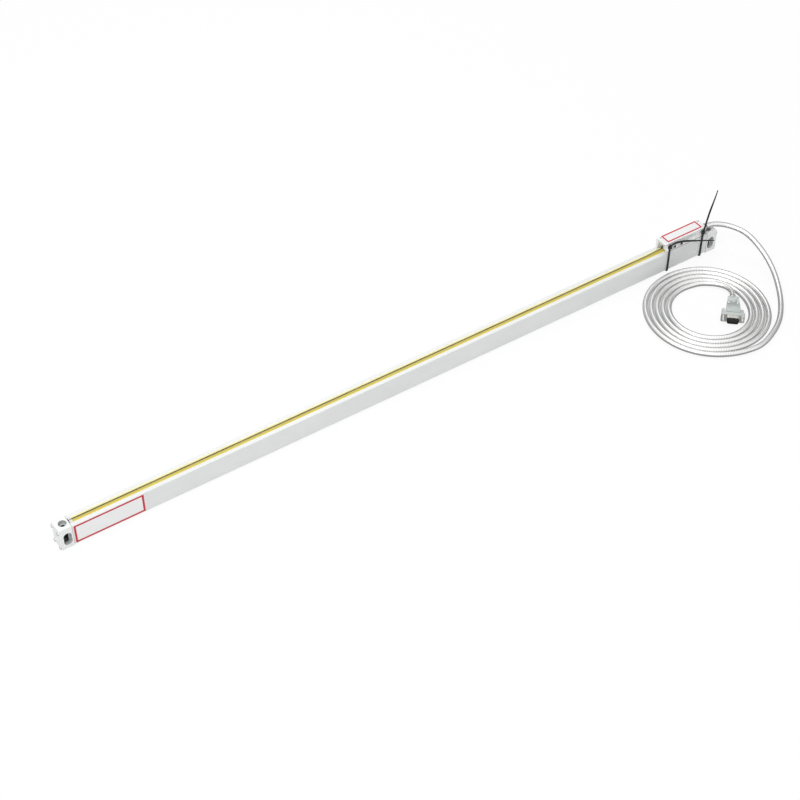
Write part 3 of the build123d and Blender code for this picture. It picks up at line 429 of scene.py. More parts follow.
def new_tree(name, inputs):
    """Geometry node tree with named sizes. Gives the tree and its inputs."""
    kinds = {int: "NodeSocketInt", float: "NodeSocketFloat", tuple: "NodeSocketVector"}
    tree = bpy.data.node_groups.new(name, "GeometryNodeTree")
    tree.interface.new_socket("Geometry", in_out="INPUT", socket_type="NodeSocketGeometry")
    for title, value in inputs.items():
        tree.interface.new_socket(title, in_out="INPUT", socket_type=kinds[type(value)]).default_value = value
    tree.interface.new_socket("Geometry", in_out="OUTPUT", socket_type="NodeSocketGeometry")
    return tree, tree.nodes.new("NodeGroupInput").outputs


def dressed(tree, geometry, material):
    """Tree that gives this geometry in its material."""
    real = add(tree, "GeometryNodeRealizeInstances", {"Geometry": geometry})
    worn = add(tree, "GeometryNodeSetMaterial", {"Geometry": real.outputs[0]}, {"Material": material})
    add(tree, "NodeGroupOutput", {"Geometry": worn.outputs[0]})
    return tree


def points_mesh(name, places):
    """Mesh of loose points."""
    mesh = bpy.data.meshes.new(name)
    mesh.from_pydata(places, [], [])
    return mesh


# Cable: its route's points are the control points of one smooth spline

CABLE_DIAMETER = 7.2 * MM
LEAD_ROUTE = [
    (0.4760, 0.0, 0.0388), (0.4877, 0.0, 0.0388), (0.4991, -0.0038, 0.0378), (0.5091, -0.0106, 0.0362),
    (0.5177, -0.0207, 0.0343), (0.5236, -0.0344, 0.0329), (0.5243, -0.0547, 0.0304), (0.5247, -0.0784, 0.0208),
    (0.5191, -0.1018, 0.0126), (0.5066, -0.1270, 0.0059), (0.4875, -0.1530, 0.0038), (0.4625, -0.1764, 0.0037),
    (0.4322, -0.1914, 0.00365), (0.4124, -0.1966, 0.0036),
]
TAIL_ROUTE = [
    (0.4225, -0.0568, 0.0036), (0.4326, -0.0612, 0.00365), (0.4444, -0.0716, 0.0041), (0.4495, -0.0806, 0.0052),
    (0.4507, -0.0905, 0.0065), (0.4480, -0.1003, 0.0075), (0.44117, -0.10800, 0.0075),
]
COIL_CENTRE = (0.4017, -0.1080)
COIL_RADIUS = 85.7
COIL_PITCH = 7.85
# The lead comes in this much further out, and the turns are counted from this bearing in degrees.
COIL_JOIN = 6.8
COIL_ZERO = -33.65
COIL_FIRST, COIL_LAST = 60.0, 1692.0


def eased(share):
    """Share from 0 to 1 that starts and stops gently."""
    share = min(max(share, 0.0), 1.0)
    return share * share * (3 - 2 * share)


def coil_route(first_turn, last_turn, points_per_turn=30):
    """Points of the flat coil: each turn keeps its radius and steps in by one pitch over its last quarter."""
    count = round((last_turn - first_turn) / 360 * points_per_turn)
    points = []
    for k in range(count + 1):
        turn = first_turn + (last_turn - first_turn) * k / count
        whole, part = divmod(turn / 360, 1.0)
        radius = COIL_RADIUS - COIL_PITCH * (whole + eased((part - 0.73) / 0.27)) + COIL_JOIN * (1 - eased(turn / 90))
        angle = math.radians(COIL_ZERO - turn)
        x, y = (middle + radius * MM * way(angle) for middle, way in zip(COIL_CENTRE, (math.cos, math.sin)))
        points.append((x, y, CABLE_DIAMETER / 2))
    return points


def spline_points(route, resolution=10):
    """The smooth line that a spline with these control points follows."""
    curve = bpy.data.curves.new("route", "CURVE")
    curve.dimensions = "3D"
    curve.resolution_u = resolution
    spline = curve.splines.new("NURBS")
    spline.points.add(len(route) - 1)
    for point, place in zip(spline.points, route):
        point.co = (*place, 1.0)
    spline.order_u = 3
    spline.use_endpoint_u = True
    return [tuple(v.co) for v in evaluated(linked("route", curve)).vertices]


def captured(tree, geometry, name, value):
    """Geometry that carries a value, and the value itself."""
    made = add(tree, "GeometryNodeCaptureAttribute", {"Geometry": geometry})
    made.capture_items.new("FLOAT", name)
    tree.links.new(value, made.inputs[1])
    return made.outputs[0], made.outputs[1]


def armour_tree():
    """Tube along a line with one rounded crown to each turn of the wound strip."""
    tree, size = new_tree("armour", {"Radius": 0.0036, "Pitch": 0.0021, "Groove": 0.00022, "Steps": 4, "Sides": 16})
    line = add(tree, "GeometryNodeMeshToCurve", {"Mesh": size["Geometry"]})
    step = calc(tree, "DIVIDE", size["Pitch"], size["Steps"])
    even = add(tree, "GeometryNodeResampleCurve", {"Curve": line.outputs[0], "Length": step}, mode="LENGTH")
    place = add(tree, "GeometryNodeSplineParameter").outputs
    path, along = captured(tree, even.outputs[0], "along", place["Length"])
    ring_sizes = {"Resolution": size["Sides"], "Radius": size["Radius"]}
    ring = add(tree, "GeometryNodeCurvePrimitiveCircle", ring_sizes, mode="RADIUS")
    round_place = add(tree, "GeometryNodeSplineParameter").outputs
    profile, around = captured(tree, ring.outputs[0], "around", round_place["Factor"])
    tube = add(tree, "GeometryNodeCurveToMesh", {"Curve": path, "Profile Curve": profile}, {"Fill Caps": True})
    phase = calc(tree, "ADD", calc(tree, "DIVIDE", along, size["Pitch"]), around)
    crown = calc(tree, "SINE", calc(tree, "MULTIPLY", calc(tree, "FRACT", phase), math.pi))
    depth = calc(tree, "MULTIPLY", calc(tree, "SUBTRACT", crown, 1.0), size["Groove"])
    outward = add(tree, "GeometryNodeInputNormal").outputs[0]
    shift = add(tree, "ShaderNodeVectorMath", {0: outward, "Scale": depth}, operation="SCALE")
    shaped = add(tree, "GeometryNodeSetPosition", {"Geometry": tube.outputs[0], "Offset": shift.outputs[0]})
    kept = add(
        tree, "GeometryNodeStoreNamedAttribute", {"Geometry": shaped.outputs[0], "Value": crown}, {"Name": "crown"},
        data_type="FLOAT", domain="POINT",
    )
    smooth = add(tree, "GeometryNodeSetShadeSmooth", {"Geometry": kept.outputs[0]})
    return dressed(tree, smooth.outputs[0], finish["armour"])


cable_line = spline_points(LEAD_ROUTE + coil_route(COIL_FIRST, COIL_LAST) + TAIL_ROUTE)
line_mesh = bpy.data.meshes.new("cable_line")
line_mesh.from_pydata(cable_line, [(i, i + 1) for i in range(len(cable_line) - 1)], [])
cable = placed(
    "armoured_cable", node_mesh("cable", line_mesh, armour_tree(), {"Radius": CABLE_DIAMETER / 2}),
    "reader", "armour", "cable_lead", "cable_coil", "cable_tail",
)


# Fasteners


def fastener_tree(name, drive, material):
    """Screw, pin or knob on each point: a turned head with a cut edge on a plain shank, cut by its drive."""
    tree, size = new_tree(name, {
        "Radius": 0.0023, "Height": 0.0015, "Edge": 0.0003, "Shank Radius": 0.001, "Shank Length": 0.01,
        "Drive Size": 0.0006, "Drive Depth": 0.0008, "Flutes": 24, "Flute Depth": 0.0, "Sides": 32,
        "Facing": (0.0, 0.0, 1.0), "Seed": 3,
    })
    wall = calc(tree, "SUBTRACT", size["Height"], size["Edge"])
    rim = calc(tree, "SUBTRACT", size["Radius"], size["Edge"])
    drop = calc(tree, "MULTIPLY", size["Shank Length"], -1.0)
    skin = add(tree, "GeometryNodeJoinGeometry")
    seat_slope = 0.01 * MM

    def lifted(geometry, height):
        """Geometry moved up by a height, if there is one."""
        up = add(tree, "ShaderNodeCombineXYZ", {"Z": height} if height else None)
        return add(tree, "GeometryNodeTransform", {"Geometry": geometry, "Translation": up.outputs[0]}).outputs[0]

    # Each wall is an open cone between two radii, and each end a flat disc.
    walls = (
        (size["Shank Radius"], size["Shank Radius"], size["Shank Length"], drop),
        (size["Shank Radius"], size["Radius"], None, None),
        (size["Radius"], size["Radius"], wall, None),
        (size["Radius"], rim, size["Edge"], wall),
    )
    for below, above, height, lift in walls:
        links = {"Vertices": size["Sides"], "Radius Bottom": below, "Radius Top": above}
        cone = add(tree, "GeometryNodeMeshCone", links, {"Depth": seat_slope}, fill_type="NONE")
        if height:
            tree.links.new(height, cone.inputs["Depth"])
        tree.links.new(lifted(cone.outputs["Mesh"], lift), skin.inputs[0])
    for radius, lift, under in ((size["Shank Radius"], drop, True), (rim, size["Height"], False)):
        disc = add(tree, "GeometryNodeMeshCircle", {"Vertices": size["Sides"], "Radius": radius}, fill_type="NGON")
        end = lifted(disc.outputs[0], lift)
        if under:
            end = add(tree, "GeometryNodeFlipFaces", {"Mesh": end}).outputs[0]
        tree.links.new(end, skin.inputs[0])
    whole = add(tree, "GeometryNodeMergeByDistance", {"Geometry": skin.outputs[0]}, {"Distance": 0.02 * MM})
    # Flutes: the rim's points move in by turns.
    place = add(tree, "GeometryNodeInputPosition").outputs[0]
    x, y, _ = add(tree, "ShaderNodeSeparateXYZ", {"Vector": place}).outputs
    wave = calc(tree, "COSINE", calc(tree, "MULTIPLY", calc(tree, "ARCTAN2", y, x), size["Flutes"]))
    dip = calc(tree, "MULTIPLY", wave, size["Flute Depth"])
    flat = add(tree, "ShaderNodeVectorMath", {0: place}, {1: (1.0, 1.0, 0.0)}, operation="MULTIPLY").outputs[0]
    reach = add(tree, "ShaderNodeVectorMath", {0: flat}, operation="LENGTH").outputs["Value"]
    outward = add(tree, "ShaderNodeVectorMath", {0: flat}, operation="NORMALIZE").outputs[0]
    shift = add(tree, "ShaderNodeVectorMath", {0: outward, "Scale": dip}, operation="SCALE").outputs[0]
    on_rim = add(tree, "FunctionNodeCompare", {"A": reach, "B": rim}, operation="GREATER_THAN").outputs[0]
    fluted = {"Geometry": whole.outputs[0], "Selection": on_rim, "Offset": shift}
    made = add(tree, "GeometryNodeSetPosition", fluted).outputs[0]
    if drive != "plain":
        twice = calc(tree, "MULTIPLY", size["Drive Depth"], 2.0)
        if drive == "slot":
            span = calc(tree, "MULTIPLY", size["Radius"], 3.0)
            box = add(tree, "ShaderNodeCombineXYZ", {"X": span, "Y": size["Drive Size"], "Z": twice})
            tool = add(tree, "GeometryNodeMeshCube", {"Size": box.outputs[0]})
        else:
            links = {"Radius": size["Drive Size"], "Depth": twice}
            tool = add(tree, "GeometryNodeMeshCylinder", links, {"Vertices": 6})
        cutter = lifted(tool.outputs["Mesh"], size["Height"])
        cut = add(tree, "GeometryNodeMeshBoolean", {"Mesh 1": made}, operation="DIFFERENCE", solver="EXACT")
        tree.links.new(cutter, cut.inputs["Mesh 2"])
        made = cut.outputs[0]
    smooth = add(tree, "GeometryNodeSetShadeSmooth", {"Geometry": made})
    bend = add(tree, "GeometryNodeInputMeshEdgeAngle").outputs["Unsigned Angle"]
    sharp = add(tree, "FunctionNodeCompare", {"A": bend}, {"B": SHARP_BEND}, operation="GREATER_THAN")
    links = {"Geometry": smooth.outputs[0], "Selection": sharp.outputs[0]}
    creased = add(tree, "GeometryNodeSetShadeSmooth", links, {"Shade Smooth": False}, domain="EDGE")
    # Each is turned about its own axis by chance, as screws are after they've been tightened.
    facing = add(tree, "FunctionNodeAlignRotationToVector", {"Vector": size["Facing"]}, axis="Z")
    chance = add(tree, "FunctionNodeRandomValue", {"Seed": size["Seed"]}, {3: math.pi}, data_type="FLOAT")
    spun = add(tree, "FunctionNodeAxisAngleToRotation", {"Angle": chance.outputs[1]}, {"Axis": (0.0, 0.0, 1.0)})
    links = {"Rotation": facing.outputs[0], "Rotate By": spun.outputs[0]}
    way = add(tree, "FunctionNodeRotateRotation", links, rotation_space="LOCAL")
    links = {"Points": size["Geometry"], "Instance": creased.outputs[0], "Rotation": way.outputs[0]}
    copies = add(tree, "GeometryNodeInstanceOnPoints", links)
    return dressed(tree, copies.outputs[0], material)


def plug_point(along, side, height=PLUG_AXIS):
    """Point of the plug from its cable entry, in metres."""
    x = PLUG_ENTRY[0] + along * PLUG_WAY[0] - side * PLUG_WAY[1]
    y = PLUG_ENTRY[1] + along * PLUG_WAY[1] + side * PLUG_WAY[0]
    return (x * MM, y * MM, height * MM)


def sizes_mm(radius, height, edge, shank_radius, shank_length, drive_size, drive_depth, flutes=0, flute_depth=0.0):
    """A fastener's named sizes. Flutes get more sides to stand on."""
    names = ("Radius", "Height", "Edge", "Shank Radius", "Shank Length", "Drive Size", "Drive Depth", "Flute Depth")
    lengths = (radius, height, edge, shank_radius, shank_length, drive_size, drive_depth, flute_depth)
    sizes = {name: length * MM for name, length in zip(names, lengths)}
    sizes["Sides"] = 80 if flutes else 32
    if flutes:
        sizes["Flutes"] = flutes
    return sizes


PIN_PITCH = 2.77
PIN_ROW = 1.42
pin_places = [
    plug_point(37.5, (k - (count - 1) / 2) * PIN_PITCH, PLUG_AXIS + row)
    for count, row in ((5, PIN_ROW), (4, -PIN_ROW)) for k in range(count)
]
end_places = ((-7.6, 27.4), (7.6, 27.4), (-7.3, 3.6), (7.3, 3.6))
plug_back = tuple(-c for c in PLUG_WAY)
sides = (("left", -1.0), ("right", 1.0))
slotted = fastener_tree("slot_fastener", "slot", finish["screw"])
socketed = fastener_tree("socket_fastener", "socket", finish["dark_screw"])
plain = fastener_tree("contact_pin", "plain", finish["pin"])
block_screw = sizes_mm(2.3, 1.5, 0.45, 1.05, 25.0, 0.55, 0.8)
knurled_screw = sizes_mm(2.15, 10.0, 0.4, 1.5, 12.5, 0.7, 0.7, flutes=20, flute_depth=0.1)
# Name, node it stands for, body, slot, tree, places in metres, sizes and the way the head faces.
fasteners = [
    *[("block_screws_" + word, "end_screws_" + word, "scale", "screw", slotted,
       [(way * BLOCK_END * MM, y * MM, z * MM) for y, z in end_places], block_screw, (way, 0.0, 0.0))
      for word, way in sides],
    ("cap_screws", "end_cap_screws", "reader", "screw", slotted,
     [(HEAD_RIGHT * MM, y * MM, 45.7 * MM) for y in (-6.9, 6.9)],
     sizes_mm(1.9, 1.2, 0.35, 1.05, 7.5, 0.5, 0.6), (1.0, 0.0, 0.0)),
    ("clamp_screws", "blade_screws", "reader", "screw", socketed,
     [(x * MM, -5.8 * MM, 36.8 * MM) for x in (422.5, 434.5)],
     sizes_mm(2.75, 3.0, 0.3, 1.4, 9.7, 1.4, 1.6, flute_depth=0.05), (0.0, -1.0, 0.0)),
    ("plug_screws", "hood_screws", "reader", "screw", slotted,
     [plug_point(HOOD_SCREW_ALONG, side, 13.6) for side in (-HOOD_SCREW_SIDE, HOOD_SCREW_SIDE)],
     sizes_mm(2.2, 1.4, 0.4, 1.2, 11.6, 0.6, 0.7), (0.0, 0.0, 1.0)),
    ("contact_pins", "dsub_pins", "reader", "pin", plain, pin_places,
     sizes_mm(0.5, 12.3, 0.28, 0.4, 0.2, 0.6, 0.8), PLUG_WAY),
    *[("knurled_screw_" + word, "thumbscrew_" + word, "thumbscrew_" + word, "screw", slotted,
       [plug_point(THUMBSCREW_ALONG, way * THUMBSCREW_SIDE)], knurled_screw, plug_back)
      for word, way in sides],
]
fine = {}
for name, node, body, slot, tree, places, sizes, facing in fasteners:
    mesh = node_mesh(name, points_mesh(name, places), tree, {**sizes, "Facing": facing})
    fine[name] = placed(name, mesh, body, slot, node)


def turned_piece(name, spot, profile, sides, body, slot, material, *replaced):
    """Piece turned about an axis: the profile gives distances along it and radii, and spot makes them a point."""
    shape = bmesh.new()
    rings = []
    for along, radius in profile:
        if radius == 0:
            rings.append([shape.verts.new(spot(along, 0, 0))])
            continue
        angles = [2 * math.pi * k / sides for k in range(sides)]
        rings.append([shape.verts.new(spot(along, radius * math.cos(a), radius * math.sin(a))) for a in angles])
    for first, second in zip(rings, rings[1:]):
        for k in range(sides):
            n = (k + 1) % sides
            corners = [first[k % len(first)], first[n % len(first)], second[n % len(second)], second[k % len(second)]]
            shape.faces.new(list(dict.fromkeys(corners)))
    return placed(name, closed_mesh(name, shape, material), body, slot, *replaced)


def at_head(along, u, v):
    """Point beside the head, from its end face along the cable's axis."""
    return ((HEAD_RIGHT + along) * MM, u * MM, (CABLE_AXIS + v) * MM)


def at_plug(along, u, v):
    """Point round the plug's axis."""
    return plug_point(along, u, PLUG_AXIS + v)


ferrule = turned_piece(
    "turned_ferrule", at_head,
    [
        (0, 0), (0, 4.7), (1.2, 4.7), (1.4, 4.35), (2.1, 4.35), (2.3, 4.7), (3.1, 4.7), (3.3, 4.35), (4.0, 4.35),
        (4.2, 4.7), (6.5, 4.7), (7.0, 4.25), (7.0, 3.62), (2.5, 3.62), (2.5, 0)
    ],
    48, "reader", "ferrule", finish["ferrule"], "cable_ferrule",
)
# Black ring at the ferrule's end, painted shade: the dark spot beside the head.
band = turned_piece(
    "painted_shade_ring", at_head, [(7.05, 3.5), (7.05, 4.0), (7.3, 4.25), (7.9, 4.25), (8.15, 4.0), (8.15, 3.5), (7.05, 3.5)],
    40, "reader", "core", finish["core"]
)


# Plug: moulded hood with a seam, its cable clamp, and the black face in the metal collar, whose fill up to the rim is
# painted shade


def cut_from(mesh, name, tool):
    """Mesh less a tool's shape."""
    body = linked(name, mesh)
    cutter = linked(name + "_tool", tool)
    less = body.modifiers.new("recess", "BOOLEAN")
    less.operation = "DIFFERENCE"
    less.solver = "EXACT"
    less.object = cutter
    result = evaluated(body)
    bpy.data.objects.remove(cutter)
    return result


def hood_section(along, half, top, round_by):
    """Rounded outline of the hood across its axis, with the seam's groove at mid height."""
    groove = 0.22

    def seam(side):
        heights = ((half, PLUG_AXIS + groove), (half - groove, PLUG_AXIS), (half, PLUG_AXIS - groove))
        return [(side * u, z) for u, z in heights]

    def corner(side, start, height):
        turns = [math.radians(start + 18 * k) for k in range(6)]
        return [(side * (half - round_by) + round_by * math.cos(a), height + round_by * math.sin(a)) for a in turns]

    high = top - round_by
    points = seam(1)[::-1] + corner(1, 0, high) + corner(-1, 90, high)
    points += seam(-1) + corner(-1, 180, round_by) + corner(1, 270, round_by)
    return [plug_point(along, u, z) for u, z in points]


def moulded_hood():
    """Hood from the cable clamp to the collar, with its two lugs and the recesses of its screws."""
    shape = bmesh.new()
    # Distance from the cable's entry, half width, top and rounding.
    stations = (
        (7.0, 6.6, 14.2, 1.2), (7.5, 7.1, 14.8, 1.3), (9.0, 7.4, 15.0, 1.3), (20.0, 8.5, 15.0, 1.3),
        (32.0, 9.6, 15.0, 1.3), (37.6, 9.95, 15.0, 1.3), (38.5, 9.95, 15.0, 1.3),
    )
    swept(shape, [hood_section(*station) for station in stations])
    lugs = ((38.5, 15.0, 13.4, 1.0), (38.9, 15.4, 13.75, 1.2), (43.1, 15.4, 13.75, 1.2), (43.5, 15.0, 13.4, 1.0))
    swept(shape, [[(x, y, z + 0.6 * MM) for x, y, z in hood_section(*station)] for station in lugs])
    mesh = closed_mesh("hood", shape, finish["hood"])
    tools = bmesh.new()
    recess_radius, recess_floor, over_hood = 2.65, 13.55, 16.0
    turns = [math.pi * k / 16 for k in range(32)]
    for side in (-HOOD_SCREW_SIDE, HOOD_SCREW_SIDE):
        swept(tools, [[
            plug_point(HOOD_SCREW_ALONG + recess_radius * math.cos(a), side + recess_radius * math.sin(a), z)
            for a in turns
        ] for z in (recess_floor, over_hood)])
    return cut_from(mesh, "hood", closed_mesh("recesses", tools, finish["hood"]))


def collar_insulator_and_painted_shade():
    """Black body that fills the collar to just under its rim: the insulator, and over it a black fill that is painted
    shade in the collar's hollow.
    """
    shape = bmesh.new()
    wide, narrow, high, cut = 7.9, 6.62, 3.6, 1.3
    outline = [
        (wide - cut, high), (cut - wide, high), (-wide + 0.2, high - cut), (-narrow - 0.25, cut - high),
        (cut - narrow, -high), (narrow - cut, -high), (narrow + 0.25, cut - high), (wide - 0.2, high - cut)
    ]
    swept(shape, [[at_plug(along, u, v) for u, v in outline] for along in (37.6, 49.55)])
    return placed(
        "collar_insulator_and_painted_shade", closed_mesh("collar_insulator_and_painted_shade", shape, finish["insulator"]), "reader", "insulator", "dsub_insulator"
    )


# Box cut out of the head's end over the lips: its X range, and its corners in Y and Z.
OPENING_X = (400.0, 405.6)
OPENING_CORNERS = ((-10.5, 33.0), (4.7, 33.0), (4.7, 46.3), (-10.5, 46.3))


def opened_head():
    """The head's body with its end opened over the lips, so that they are seen to run on under it."""
    opening = bmesh.new()
    swept(opening, [[(x * MM, y * MM, z * MM) for y, z in OPENING_CORNERS] for x in OPENING_X])
    body = bmesh.new()
    body.from_mesh(nodes["head_body"].data)
    tool = closed_mesh("opening", opening, finish["head"])
    return cut_from(closed_mesh("head_body", body, finish["head"]), "head_body", tool)


placed("opened_head", opened_head(), "reader", "head", "head_body")
hood = placed("moulded_hood", moulded_hood(), "reader", "hood", "hood_upper", "hood_lower")
face = collar_insulator_and_painted_shade()
clamp = turned_piece(
    "cable_clamp", at_plug,
    [
        (-1.0, 3.5), (-1.0, 3.95), (-0.6, 4.2), (1.6, 4.2), (1.9, 3.95), (2.5, 3.95), (2.8, 4.2), (6.0, 4.4),
        (8.0, 4.4), (8.0, 3.5), (-1.0, 3.5)
    ],
    40, "reader", "ferrule", finish["ferrule"],
)


# Sealing lips: thin soft strips that almost meet over the slot, and part round the blade

LIP_REACH = 477.5
LIP_SECTION = [
    (5.8, 29.3), (5.8, 30.5), (4.55, 30.5), (4.55, 32.3), (4.1, 32.62), (3.3, 32.98), (2.4, 33.22), (1.5, 33.36),
    (0.85, 33.38), (0.58, 33.2), (0.55, 32.95), (0.75, 32.65), (1.6, 32.3), (2.6, 31.7), (3.3, 30.9), (3.35, 29.3),
]


def seal_lip(name, side, node):
    """Strip with a foot in the groove and a curved top, whose edge waves by a few hundredths of a millimetre."""
    shape = bmesh.new()
    sections = []
    steps = 150
    for k in range(steps + 1):
        x = -LIP_REACH + 2 * LIP_REACH * k / steps
        wave = 0.05 * math.sin(x / 9.0 + side) + 0.04 * math.sin(x / 23.0 + 2 * side)
        section = []
        for y, z in LIP_SECTION:
            free = max(0.0, min(1.0, (4.5 - y) / 3.5)) if z > 32.0 else 0.0
            section.append((x * MM, side * y * MM, (z + wave * free - 0.05 * free) * MM))
        sections.append(section)
    swept(shape, sections)
    return placed(name, closed_mesh(name, shape, finish["lip"]), "scale", "lip", node)


def parted_lip(name, side):
    """Where the blade passes, the lip's edge lifts along its flank. It goes with the blade."""
    shape = bmesh.new()
    sections = []
    for x, out, lift in (
        (380.0, 0.0, 0.0), (385.0, 0.15, 0.15), (389.0, 0.35, 0.42), (393.0, 0.5, 0.75), (397.0, 0.55, 1.0),
        (403.0, 0.55, 1.15), (412.0, 0.55, 1.15)
    ):
        low = 33.42
        inner, outer = 0.6, 1.2 + 2.2 * out
        top = low + 0.12 + lift
        outline = [
            (outer + 0.9, low), (outer + 0.3, low + 0.1 + 0.4 * lift), (outer - 0.1, top - 0.12), (inner + 0.18, top),
            (inner, top - 0.1), (inner, low)
        ]
        sections.append([(x * MM, side * y * MM, z * MM) for y, z in outline])
    swept(shape, sections)
    return placed(name, closed_mesh(name, shape, finish["lip"]), "reader", "lip")


for side, word in ((-1, "front"), (1, "back")):
    seal_lip("curved_lip_" + word, side, "seal_lip_" + word)
    parted_lip("parted_lip_" + word, side)


# Transport ties: nylon straps that narrow to their tips, with a ratchet head

STRAP_WIDTH = 2.8
STRAP_THICKNESS = 1.3


def strap_sections(line, flat, narrowing):
    """Sections of a flat strap with cut corners along a line. flat is the way of its width."""
    sections = []
    count = len(line)
    for k, place in enumerate(line):
        before, after = line[max(k - 1, 0)], line[min(k + 1, count - 1)]
        way = [b - a for a, b in zip(before, after)]
        cross = [
            flat[1] * way[2] - flat[2] * way[1], flat[2] * way[0] - flat[0] * way[2],
            flat[0] * way[1] - flat[1] * way[0]
        ]
        size = math.sqrt(sum(c * c for c in cross))
        cross = [c / size for c in cross]
        share = narrowing(k / (count - 1))
        half, thick = STRAP_WIDTH / 2 * share * MM, STRAP_THICKNESS / 2 * (0.45 + 0.55 * share) * MM
        cut = 0.22 * thick / (STRAP_THICKNESS / 2)
        outline = [
            (half - cut, thick), (cut - half, thick), (-half, thick - cut), (-half, cut - thick), (cut - half, -thick),
            (half - cut, -thick), (half, cut - thick), (half, thick - cut)
        ]
        sections.append([tuple(p + u * f + v * c for p, f, c in zip(place, flat, cross)) for u, v in outline])
    return sections


def ratchet_tree():
    """Fine bars across a strap, one to each tooth."""
    tree, size = new_tree("ratchet", {"Pitch": 0.0012, "Width": 0.0014, "Height": 0.0003, "Flat": (0.0, 0.0, 1.0)})
    line = add(tree, "GeometryNodeMeshToCurve", {"Mesh": size["Geometry"]})
    links = {"Curve": line.outputs[0], "Length": size["Pitch"]}
    teeth = add(tree, "GeometryNodeCurveToPoints", links, mode="LENGTH")
    half = calc(tree, "MULTIPLY", size["Pitch"], 0.5)
    bar_size = add(tree, "ShaderNodeCombineXYZ", {"X": size["Width"], "Y": size["Height"], "Z": half})
    bar = add(tree, "GeometryNodeMeshCube", {"Size": bar_size.outputs[0]})
    along = add(tree, "FunctionNodeAlignRotationToVector", {"Vector": teeth.outputs["Tangent"]}, axis="Z")
    links = {"Rotation": along.outputs[0], "Vector": size["Flat"]}
    across = add(tree, "FunctionNodeAlignRotationToVector", links, axis="X", pivot_axis="Z")
    links = {"Points": teeth.outputs[0], "Instance": bar.outputs["Mesh"], "Rotation": across.outputs[0]}
    copies = add(tree, "GeometryNodeInstanceOnPoints", links)
    return dressed(tree, copies.outputs[0], finish["tie"])


ratchet = ratchet_tree()


TIE_SIDE = 10.55
TIE_UNDER = 0.65
TIE_LEVEL = 42.0
TIE_HEAD = (4.8, 3.8, 6.4)
TIE_HEAD_FRONT = -11.1
TOOTHED_SHARE = 0.35


def transport_tie(word, x, tail, flat):
    """Tie through a cross hole of the head, down the back, under the housing and up the front, with its loose end."""
    side, low, z = TIE_SIDE, TIE_UNDER, TIE_LEVEL
    through = [(y, z) for y in (-11.5, -4.0, 4.0, 9.6)]
    down = [(side, h) for h in (z, z - 1.2, 30.0, 15.0, 2.4, low)]
    under = [(y, low) for y in (9.0, 0.0, -9.0)]
    up = [(-side, h) for h in (low, 2.4, 15.0, 30.0, z - 2.0)]
    loop_route = [(x, y, h) for y, h in through + down + under + up]
    shape = bmesh.new()
    loop = spline_points([tuple(c * MM for c in p) for p in loop_route], 4)
    swept(shape, strap_sections(loop, (1.0, 0.0, 0.0), lambda share: 1.0))
    tail_line = spline_points([tuple(c * MM for c in p) for p in tail], 6)
    swept(shape, strap_sections(tail_line, flat, lambda share: 1.0 - 0.55 * max(0.0, (share - 0.6) / 0.4) ** 1.3))
    block = bmesh.ops.create_cube(shape, size=1.0)["verts"]
    bmesh.ops.scale(shape, vec=[c * MM for c in TIE_HEAD], verts=block)
    bmesh.ops.translate(shape, vec=(x * MM, TIE_HEAD_FRONT * MM, z * MM), verts=block)
    edges = list({edge for vert in block for edge in vert.link_edges})
    bmesh.ops.bevel(shape, geom=edges, offset=0.7 * MM, segments=3, affect="EDGES")
    placed(
        "transport_tie_" + word, closed_mesh("tie_" + word, shape, finish["tie"]), "reader", "tie", "cable_tie_" + word
    )
    base = bpy.data.meshes.new("teeth_line")
    toothed = tail_line[2:int(len(tail_line) * TOOTHED_SHARE)]
    base.from_pydata(toothed, [(k, k + 1) for k in range(len(toothed) - 1)], [])
    teeth = node_mesh("teeth_" + word, base, ratchet, {"Height": 1.36 * MM, "Width": 1.5 * MM, "Flat": flat})
    placed("ratchet_teeth_" + word, teeth, "reader", "tie")


transport_tie("left", 409.7, [
    (409.7, -11.2, 42.5), (411.0, -12.4, 46.6), (418.0, -13.0, 47.9), (430.0, -15.4, 46.6), (440.0, -18.2, 44.4),
    (457.0, -22.6, 40.2), (473.6, -28.0, 36.6),
], (0.16, 0.5, 0.85))
transport_tie("right", 467.7, [
    (467.7, -11.3, 43.0), (467.9, -12.2, 50.0), (469.2, -12.8, 61.0), (471.4, -13.1, 74.0), (475.0, -13.1, 87.0),
    (479.0, -12.7, 98.5), (481.6, -12.2, 108.0),
], (1.0, 0.0, 0.0))


# Labels: white film with a printed red border, and nothing written on them


def rounded_outline(low, high, radius, steps=5):
    """Points round a rectangle with round corners."""
    points = []
    corners = (high[0], high[1], 0), (low[0], high[1], 90), (low[0], low[1], 180), (high[0], low[1], 270)
    for (x, y, start), (toward_x, toward_y) in zip(corners, ((-1, -1), (1, -1), (1, 1), (-1, 1))):
        for k in range(steps + 1):
            turn = math.radians(start + 90 * k / steps)
            points.append((x + radius * (toward_x + math.cos(turn)), y + radius * (toward_y + math.sin(turn))))
    return points


def flat_piece(name, outer, inner, base, thickness, place, body, slot, material):
    """Thin plate over an outline, with a hole if there is an inner one. place makes U, V and height a point."""
    shape = bmesh.new()
    levels = []
    for height in (base, base + thickness):
        levels.append([
            [shape.verts.new([c * MM for c in place(u, v, height)]) for u, v in outline] if outline else []
            for outline in (outer, inner)
        ])
    count = len(outer)
    for k in range(count):
        n = (k + 1) % count
        shape.faces.new((levels[0][0][k], levels[0][0][n], levels[1][0][n], levels[1][0][k]))
        if inner:
            shape.faces.new((levels[1][1][k], levels[1][1][n], levels[0][1][n], levels[0][1][k]))
            for low in (0, 1):
                shape.faces.new((levels[low][0][k], levels[low][0][n], levels[low][1][n], levels[low][1][k]))
    if not inner:
        shape.faces.new(levels[1][0])
        shape.faces.new(levels[0][0][::-1])
    return placed(name, closed_mesh(name, shape, material), body, slot)


